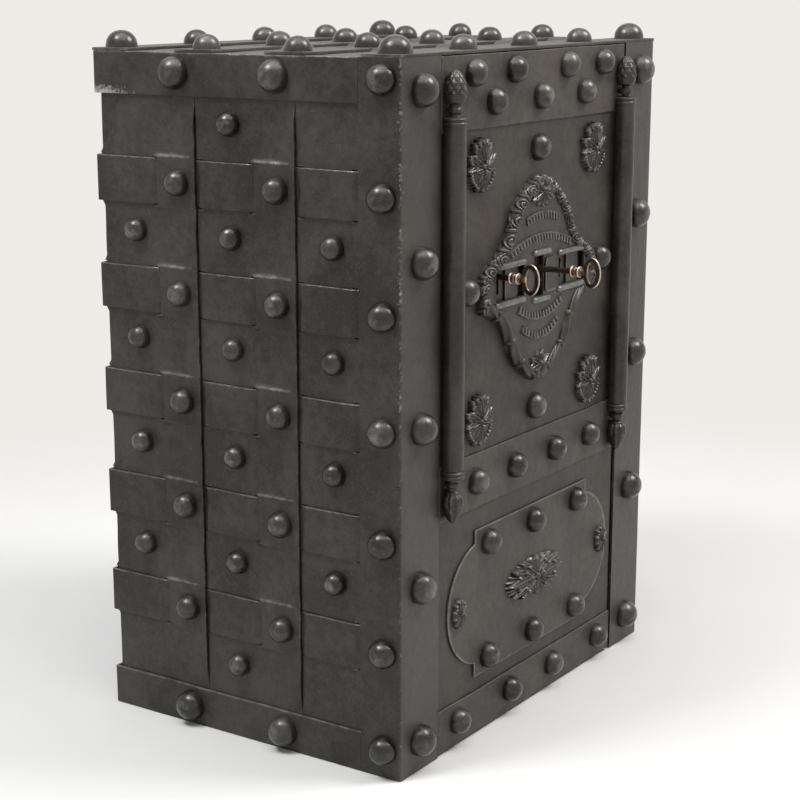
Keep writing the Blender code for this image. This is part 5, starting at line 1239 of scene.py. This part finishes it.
def rod_part(start, end, z):
    """A rod with round ends: circles whose radius follows a quarter circle at each end."""
    cap = ROD_RADIUS * (1 - np.cos(np.linspace(0, math.pi, 7)[:-1] / 2))
    round_end = ROD_RADIUS * np.sin(np.arccos(np.clip(1 - cap / ROD_RADIUS, -1, 1)))
    straight = np.linspace(start + ROD_RADIUS, end - ROD_RADIUS, 14)
    along = np.concatenate([start + cap[:-1], straight, (end - cap)[::-1]])[:, None]
    size = np.concatenate([round_end[:-1], np.full(14, ROD_RADIUS), round_end[::-1]])[:, None]
    size = np.maximum(size, ROD_RADIUS * 0.08)
    turn = np.linspace(0, math.tau, 18, endpoint=False)
    rings = np.stack([along + 0 * turn, FIELD_FRONT - size * np.cos(turn), z + size * np.sin(turn)], -1)
    return shell_part(rings, {"wear": 0.30 + 0.46 * np.clip(np.cos(turn), 0, 1) + 0 * size})


rods = [rod_part(left - 0.002, left + rod + 0.002, WINDOW_LEVEL + side * (half + ROD_RADIUS))
        for left, width, half, rod in WINDOWS for side in (-1, 1)]


def reeded_arc(end_x, end_z, middle_z):
    """A raised arc of upright reeds under a thin rail: its height is a comb along the arc, on a
    parabola through both ends and the middle."""
    half_tall, pitch, top = 6.2, 8.6, 2.6
    side = np.sign(middle_z)
    along = np.arange(-end_x, end_x + 0.1, 0.8)[:, None]
    across = np.array([-1, -0.94, -0.84, -0.5, -0.1, 0.3, 0.50, 0.58, 0.66, 0.84, 0.94, 1.0])[None, :]
    across = across * half_tall * side
    comb = np.cos((along + 0.25 * across) / pitch * math.tau)
    bar = np.clip(0.42 + 1.5 * comb, 0, 1)
    rise = np.where(across * side > 0.55 * half_tall, 0.86 * top, 0.1 + (top - 0.1) * bar)
    rise = rise + 0 * along
    rise[:, [0, -1]] = -0.8
    rise[[0, -1]] = -0.8
    lift = middle_z + (end_z - middle_z) * (along / end_x) ** 2
    slope = 2 * (end_z - middle_z) * along / end_x ** 2
    x = along - across * np.sin(np.arctan(slope))
    z = lift + across * np.cos(np.arctan(slope))
    points = np.stack([x * MM, FIELD_FRONT - rise * MM, MEDALLION_LEVEL + z * MM], -1)
    back = points[:, [-1, 0]].copy()
    back[..., 1] = FIELD_FRONT + 0.002
    top_wear = 0.78 * np.clip(rise / top, 0, 1) ** 4
    # Painted shade in the gaps between the reeds.
    low = -0.9 * (rise < 0.3 * top)
    marks = {"wear": np.hstack([top_wear, 0 * top_wear[:, :2]]), "relief": np.hstack([low, 0 * low[:, :2]])}
    return shell_part(np.concatenate([points, back], 1), marks)


def fanned(middle, start, squash, leaves):
    """Leaves fanned out from a middle, each by its degrees, reach, width and rise, and the fan
    flattened a little."""
    forms = []
    for degrees, reach, width, rise in leaves:
        way_x, way_z = math.cos(math.radians(degrees)), squash * math.sin(math.radians(degrees))
        forms.append((leaf, (start * way_x, middle + start * way_z),
                      (reach * way_x, middle + reach * way_z), width, rise, 2.0))
    return forms


def crown_height(x, z):
    """Five broad leaves fanned upwards from a round bud, two spread below them, and three short
    leaves hanging."""
    leaves = ((90, 30, 14, 19.0), (50, 35, 13, 17.5), (130, 35, 13, 17.5), (14, 40, 11, 15.5),
              (166, 40, 11, 15.5))
    return carve(x, z, bead(x, z, (0, -4), 24, 12.0), *fanned(-6, 5, 0.76, leaves), *both_sides(
        (leaf, (6, -6), (33, -17), 9.0, 16.0, 1.0), (leaf, (7, -8), (12, -26), 6.5, 15.0, 1.0)),
        (leaf, (0, -8), (0, -28), 6.5, 15.5, 1.0), (bead, (0, -3), 8.5, 19.5))


def tail_height(x, z):
    """The crown turned over: five broad leaves fanned downwards from a bud, and four above."""
    leaves = ((270, 27, 13, 17.5), (230, 31, 12, 16), (310, 31, 12, 16), (194, 34, 10, 14.5),
              (346, 34, 10, 14.5))
    return carve(x, z, bead(x, z, (0, 3), 21, 11.0), *fanned(5, 4, 0.80, leaves), *both_sides(
        (leaf, (4, 3), (26, 15), 8.5, 15.0, 1.0), (leaf, (5, 8), (9, 25), 6.0, 14.0, 1.0)),
        (bead, (0, 4), 7.6, 18.0))


def volute_height(x, z):
    """A double roll, one above the other, with a leaf above and one below."""
    return carve(x, z, np.full_like(x, -1.0), (roll, (0, 8.5), 10.0, 16.4, 1),
                 (roll, (0, -10.5), 9.2, 16.4, -1), (leaf, (0, 14), (0, 29), 8.5, 15.5, 2.0),
                 (leaf, (0, -14), (0, -29), 8.0, 15.0, 2.0))


CLUSTERS = ((0, 0.133, (0.040, 0.028), crown_height, 36, 170),
            (0, -0.132, (0.034, 0.026), tail_height, 34, 150),
            (-0.1585, -0.004, (0.0135, 0.030), volute_height, 30, 130),
            (0.1585, -0.004, (0.0135, 0.030), volute_height, 30, 130))
clusters = [carved_part((x, MEDALLION_LEVEL + z), half, GARLAND_BACK, height_of, rings, sides)
            for x, z, half, height_of, rings, sides in CLUSTERS]
arcs = [reeded_arc(*ends) for ends in ((44, 87, 94), (90, 44, 62), (66, -37, -55), (52, -68, -84))]
add_casting("medallion_garland", [garland] + clusters, ["medallion"])
add_casting("medallion_rods", rods + arcs, ["medallion"], sharp=60)

# Columns: two cast half-round shafts between double rings, each with a pine-cone above and a
# leafy bud below. The left one is bolted to the leaf; the right one is the hinge barrel.
COLUMN_X, COLUMN_AXIS, COLUMN_BACK = 0.2495, -0.2755, -0.2653
COLUMN_SIDES = 60
CONE_PROFILE = ((0.9770, 0.0008), (0.9762, 0.0034), (0.9745, 0.0056), (0.9700, 0.0088), (0.9640, 0.0118),
                (0.9581, 0.0138), (0.9500, 0.0151), (0.9462, 0.0153), (0.9450, 0.0142), (0.9440, 0.0150),
                (0.9400, 0.0150), (0.9345, 0.0128), (0.9322, 0.0104), (0.9316, 0.0072))
RING_SHARES = ((0.0, 0.74), (0.06, 0.95), (0.24, 1.0), (0.42, 0.95), (0.50, 0.86), (0.58, 0.95), (0.76, 1.0),
               (0.94, 0.95), (1.0, 0.88))
BUD_PROFILE = ((0.3990, 0.0068), (0.3985, 0.0098), (0.3972, 0.0114), (0.3960, 0.0108), (0.3945, 0.0112),
               (0.3900, 0.0139), (0.3845, 0.0149), (0.3780, 0.0147), (0.3700, 0.0134), (0.3620, 0.0112),
               (0.3560, 0.0086), (0.3525, 0.0058), (0.3508, 0.0008))
UPPER_RING, LOWER_RING, RING_TALL, RING_RADIUS, SHAFT_RADIUS = 0.9145, 0.4280, 0.012, 0.0170, 0.0157
NECKS = {"left_column": (0.0084, 0.0104), "hinge_column": (0.0062, 0.0062)}

column_iron = iron_finish("column_iron", (0.034, 0.0315, 0.0282), (0.074, 0.0685, 0.0610), 0.36, 0.35,
                          0.0005, rust=0.08, dust=0.25)


def neck_profile(high, low, name):
    """A thin neck between two levels; the fixed column's has a bead round its middle."""
    radius, bead_radius = NECKS[name]
    middle = (high + low) / 2
    return ((high - 0.0006, radius), (middle + 0.0040, radius), (middle + 0.0032, bead_radius * 0.93),
            (middle, bead_radius), (middle - 0.0032, bead_radius * 0.93), (middle - 0.0040, radius),
            (low + 0.0006, radius))


def column(name, x):
    """A profile turned about the axis, with scales on the cone and folded leaves on the bud
    added to its radius, and cut flat behind where it lies on the leaf."""
    profile = list(CONE_PROFILE) + list(neck_profile(0.9316, UPPER_RING, name))
    profile += [(UPPER_RING - RING_TALL * h, RING_RADIUS * r) for h, r in RING_SHARES]
    profile += [(UPPER_RING - RING_TALL - 0.0008, SHAFT_RADIUS * 0.975), (0.880, SHAFT_RADIUS * 0.99),
                (0.670, SHAFT_RADIUS), (0.450, SHAFT_RADIUS), (LOWER_RING + 0.0008, SHAFT_RADIUS * 0.985)]
    profile += [(LOWER_RING - RING_TALL * h, RING_RADIUS * 1.02 * r) for h, r in RING_SHARES]
    profile += list(neck_profile(LOWER_RING - RING_TALL, 0.3990, name)) + list(BUD_PROFILE)
    levels, radii = np.array(profile).T
    z = np.concatenate([np.arange(0.9770, 0.9010, -0.0004), np.linspace(0.9005, 0.4305, 60),
                        np.arange(0.4300, 0.3508, -0.0004), [0.3508]])
    radius = np.mean([np.interp(z + shift, levels[::-1], radii[::-1])
                      for shift in (-0.0007, -0.00035, 0, 0.00035, 0.0007)], 0)
    turn = np.linspace(0, math.tau, COLUMN_SIDES, endpoint=False)[None, :]
    radius, level = radius[:, None] + 0 * turn, z[:, None] + 0 * turn
    around, up = turn * 8 / math.tau, (level - 0.9452) / 0.0076
    lattice = [np.abs(((around + s * up / 2) % 1.0) - 0.5) for s in (1, -1)]
    scale = np.clip(1 - 2 * np.maximum(*lattice), 0, 1) ** 0.5
    on_cone = (level > 0.9456) * np.clip((0.9762 - level) / 0.004, 0, 1)
    radius = radius + on_cone * (0.0022 * scale - 0.0007)
    share = np.clip((0.3965 - level) / 0.0440, 0, 1)
    on_bud = (level < 0.3962) * np.clip((0.3962 - level) / 0.0015, 0, 1)
    long_leaf = np.abs(np.cos(2.5 * turn + 0.4)) ** 0.45 * np.sin(math.pi * share ** 0.8) ** 0.6
    rib = -0.45 * np.exp(-((np.sin(2.5 * turn + 0.4) / 0.16) ** 2))
    short = np.abs(np.sin(2.5 * turn + 0.4)) ** 0.5 * np.clip(1 - (share / 0.46) ** 3, 0, 1) * (share < 0.46)
    tip = np.exp(-(((share - 0.43) / 0.05) ** 2)) * np.abs(np.sin(2.5 * turn + 0.4)) ** 2
    radius = radius + on_bud * 0.0032 * (long_leaf * (1 + 0.7 * rib) - 0.85 + 0.60 * short + 0.5 * tip)
    radius = np.maximum(radius, 0.0006)
    marks = relief_marks(radius / MM, 0.80)
    plain = (level < 0.9000) & (level > 0.4310)
    marks = {key: np.where(plain, 0, value) for key, value in marks.items()}
    depth = np.minimum(COLUMN_AXIS - radius * np.cos(turn), COLUMN_BACK)
    points = np.stack([x + radius * np.sin(turn), depth, level], -1)
    add_casting(name + "_casting", [shell_part(points, marks)], [name], column_iron)


column("left_column", -COLUMN_X)
column("hinge_column", COLUMN_X)

# Hinge arms: two flat irons from the right post, each forged into an eye round a neck of the
# hinge column, and the sheet nailed under the floor board.
dress(side_iron, 0.0004, "upper_hinge_arm", "lower_hinge_arm")
dress(inner_iron, 0.0006, "bottom_plate")

# Sliding covers: small cast plates with a raised rim. Two run in channels behind the medallion's
# field; the middle one runs in front of it and has a rolled lip along its left edge and foot.
COVER_HALF, COVER_FRONT, COVER_PLATE = (0.0178, 0.0238), -0.2645, 0.0026
RIM_STEPS = (0, 0.0003, 0.0007, 0.0012, 0.0018, 0.0024, 0.0030, 0.006, 0.011, 0.0155)

cover_iron = iron_finish("cover_iron", (0.030, 0.031, 0.026), (0.066, 0.066, 0.054), 0.36, 0.40, 0.0005,
                         rust=0.16, dust=0.2)


def cover(name, x, front, half, corner, rim, rolled=False):
    """Rounded rectangles, each a step further inside, and each as far forward as the rim's bead
    at that step. A rolled rim is low along the right edge and the head."""
    wide, tall = half
    quarter = np.linspace(0, math.pi / 2, 7)
    corners = [np.stack([side_x * (wide - corner) + corner * np.cos(quarter + start),
                         side_z * (tall - corner) + corner * np.sin(quarter + start)], -1)
               for side_x, side_z, start in ((1, 1, 0), (-1, 1, math.pi / 2), (-1, -1, math.pi),
                                             (1, -1, 1.5 * math.pi))]
    outline = spaced_evenly(np.concatenate(corners), 120)
    inset = np.array(RIM_STEPS)[:, None, None]
    grid = outline[None] * (1 - inset / np.array([wide, tall]))
    lip = rim * np.sqrt(np.clip(1 - ((inset[..., 0] - 0.0014) / 0.0014) ** 2, 0, 1))
    if rolled:
        lip = lip * (0.35 + 0.65 * ((outline[:, 0] < -wide * 0.9) | (outline[:, 1] < -tall * 0.9)))
    worn = 0.62 * (lip > rim * 0.7) * (1.3 if rolled else 1.0)
    points = np.stack([x + grid[..., 0], front - lip + 0 * grid[..., 0], WINDOW_LEVEL + grid[..., 1]], -1)
    add_piece(name + "_plate", [disc_part(points, worn)], cover_iron, name, [name],
              solid=COVER_PLATE - rim * 1.2)


cover("left_key_cover", -0.0760, COVER_FRONT, COVER_HALF, 0.0015, 0.0004)
cover("right_key_cover", 0.1060, COVER_FRONT, COVER_HALF, 0.0015, 0.0004)
cover("middle_key_cover", 0.0280, -0.2726, (0.0178, 0.0258), 0.0075, 0.0009, rolled=True)

# Keys: two forged steel keys with turned collars, wide oval bows and warded bits. Handling has
# worn the bows' rims and the collars bright; the rest is brown.
KEY_LONG, BOW_HALF, BOW_BAND = 0.130, (0.0108, 0.0190), 0.0035
KEY_PROFILE = ((0.0, 0.0010), (0.0003, 0.0034), (0.0012, 0.0044), (0.030, 0.0045), (0.1050, 0.0045),
               (0.1060, 0.0052), (0.1068, 0.0066), (0.1080, 0.0082), (0.1096, 0.0086), (0.1110, 0.0078),
               (0.1118, 0.0064), (0.1128, 0.0062), (0.1138, 0.0070), (0.1150, 0.0076), (0.1162, 0.0070),
               (0.1172, 0.0062), (0.1182, 0.0066), (0.1192, 0.0080), (0.1206, 0.0086), (0.1220, 0.0080),
               (0.1232, 0.0062), (0.1245, 0.0055), (0.1290, 0.0052), (0.1300, 0.0040))
KEY_BROWN, KEY_RUSSET = (0.085, 0.052, 0.040, 1), (0.190, 0.130, 0.105, 1)
KEY_BRIGHT, KEY_YELLOW_SPOT = (0.66, 0.55, 0.47, 1), (0.80, 0.55, 0.20, 1)

key_steel, tree, shader = new_finish("key_steel")
paint = use(tree, old_paint, Cloud_Scale=60.0, Dent_Scale=190.0)
wear, yellow_share = (add_node(tree, "Attribute", attribute_name=key).outputs["Fac"] for key in ("wear", "chip"))
edge = use(tree, rubbed, Amount=wear, Break_Scale=160.0)
tone = blend(tree, remap(tree, paint["Cloud"], 0.32, 0.70), KEY_BROWN, KEY_RUSSET)
tone = blend(tree, yellow_share, blend(tree, edge["Mask"], tone, KEY_BRIGHT), KEY_YELLOW_SPOT)
rough = remap(tree, paint["Cloud"], 0.3, 0.7, 0.20, 0.36)
surface(tree, shader, tone, rough, paint["Height"], 0.35, 0.0002)
shader.inputs["Metallic"].default_value = 0.88


def key_parts(x, tip, spot):
    """A turned shank and collar along -Y, an oval bow in the plane of the shank and a bit."""
    reach, radii = np.array(KEY_PROFILE).T
    steps = (reach, np.linspace(0.003, 0.104, 18), np.arange(0.1050, 0.1245, 0.0004))
    along = np.unique(np.concatenate(steps))
    radius = np.interp(along, reach, radii)
    turn = np.linspace(0, math.tau, 32, endpoint=False)
    rings = np.stack([x + radius[:, None] * np.cos(turn), (tip - along)[:, None] + 0 * turn[None, :],
                      KEY_LEVEL + radius[:, None] * np.sin(turn)], -1)
    shank = shell_part(rings, {"wear": (0.50 * (radius > 0.0076) + 0.15 * (along > 0.104))[:, None]})
    phi = np.linspace(0, math.tau, 96, endpoint=False)[:, None]
    psi = np.linspace(0, math.tau, 20, endpoint=False)[None, :]
    out = BOW_BAND * np.cos(psi)
    side = 0.0025 * np.sign(np.sin(psi)) * np.abs(np.sin(psi)) ** 0.7 * (1 + 0.25 * np.cos(2 * psi))
    centre = tip - KEY_LONG - BOW_HALF[0]
    y = centre + (BOW_HALF[0] + out) * np.cos(phi)
    z = KEY_LEVEL + (BOW_HALF[1] + out) * np.sin(phi)
    rim = np.clip((np.cos(psi) - 0.70) / 0.2, 0, 1)
    rim = rim + 0.6 * np.clip((-np.cos(psi) - 0.85) / 0.15, 0, 1) + 0 * phi
    # A yellow spot on the inner left of the bow, carried in the chip mark.
    yellow_spot = spot * step_up((np.cos(phi) - 0.945) / 0.05) * step_up(0.6 - np.cos(psi))
    bow = loop_part(np.stack([x + side + 0 * phi, y, z], -1), {"wear": 0.85 * rim, "chip": 0.9 * yellow_spot})
    us = lines([0.0, 0.005, 0.008, 0.012, 0.015, 0.020], 0.0015)
    vs = lines([0.002, 0.009, 0.014, 0.018], 0.0015)
    u, v = np.meshgrid(us, vs, indexing="ij")
    middle_u, middle_v = cell_middles(us, vs)
    wards = ((middle_u > 0.005) & (middle_u < 0.008)
             | (middle_u > 0.012) & (middle_u < 0.015) & (middle_v < 0.014))
    points = np.stack([x + 0.0020 + 0 * u, tip - u, KEY_LEVEL - v], -1)
    bit = sheet_part(points, {"wear": 0.3}, ~(wards & (middle_v > 0.009)))
    return shank, bow, bit


KEYS = (("left_key", KEYHOLES[0], -0.1750, 1.0), ("middle_key", KEYHOLES[1], -0.2180, 0.0))
for name, x, tip, spot in KEYS:
    shank, bow, bit = key_parts(x, tip, spot)
    add_piece(name + "_shank", [shank], key_steel, name, [name])
    add_piece(name + "_bow", [bow], key_steel, name, [name])
    add_piece(name + "_bit", [bit], key_steel, name, [name], solid=0.004, edge=0.0004)

# Lock: an iron case screwed to the inner sheet, with a three-headed main bolt and two single
# bolts of filed steel, and the rivets that clench the inner sheet to the oak.
RIVET, RIVET_INSET = (0.0052, 0.0026), 0.014

bolt_steel, tree, shader = new_finish("bolt_steel")
place = here(tree)
filed = add_node(tree, "Mapping", {"Vector": place, "Scale": (18.0, 420.0, 420.0)}).outputs[0]
marks, stains = noise(tree, filed, 1.0, 4.0), noise(tree, place, 34.0, 6.0)
tone = blend(tree, marks, (0.20, 0.20, 0.195, 1), (0.44, 0.43, 0.42, 1))
tone = blend(tree, remap(tree, stains, 0.45, 0.70), tone, (0.13, 0.085, 0.060, 1))
surface(tree, shader, tone, remap(tree, stains, 0.35, 0.7, 0.26, 0.55), marks, 0.4, 0.0002)
shader.inputs["Metallic"].default_value = 0.85

dress(inner_iron, 0.0010, "lock_case")
dress(bolt_steel, 0.0009, "main_bolt", "middle_bolt", "right_bolt")


def screw_head(x, y, z, radius, turned):
    """A slotted round head: a shallow dome over a disc, sunk along a straight slot."""
    share = np.array([0.04, 0.2, 0.4, 0.55, 0.7, 0.82, 0.92, 1.0, 1.0])[:, None]
    turn = np.linspace(0, math.tau, 40, endpoint=False)[None, :]
    a, b = radius * share * np.cos(turn), radius * share * np.sin(turn)
    height = 0.42 * radius * np.sqrt(1 - (0.86 * share) ** 2)
    across = -a * math.sin(turned) + b * math.cos(turned)
    height = height - 0.0011 * (np.abs(across) < 0.11 * radius)
    height[-1] = -0.0004
    points = np.stack([x + a, y + height, z + b], -1)
    # Painted shade in the slot and round the foot of the head.
    marks = {"wear": 0.5 * (height > 0.3 * radius), "relief": -0.8 * (height < 0.1 * radius)}
    return shell_part(points, marks)


low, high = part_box("lock_case")
heads = [screw_head(x, high[1], z, 0.0055, 0.4 + k * 1.3 + j)
         for k, x in enumerate(np.linspace(low[0] + 0.018, high[0] - 0.018, 4))
         for j, z in enumerate((low[2] + 0.016, high[2] - 0.016))]
add_piece("lock_case_screws", heads, inner_iron, "door")
low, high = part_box("door_inner_sheet")
xs = np.linspace(low[0] + RIVET_INSET, high[0] - RIVET_INSET, 8)
zs = np.linspace(low[2] + RIVET_INSET, high[2] - RIVET_INSET, 14)
spots = [(x, z) for x in xs for z in (zs[0], zs[-1])] + [(x, z) for x in (xs[0], xs[-1]) for z in zs[1:-1]]
parts = [stud_head((x, high[1], z), (0, 1, 0), RIVET, 1900 + k) for k, (x, z) in enumerate(spots)]
add_piece("inner_sheet_rivets", parts, inner_iron, "door")
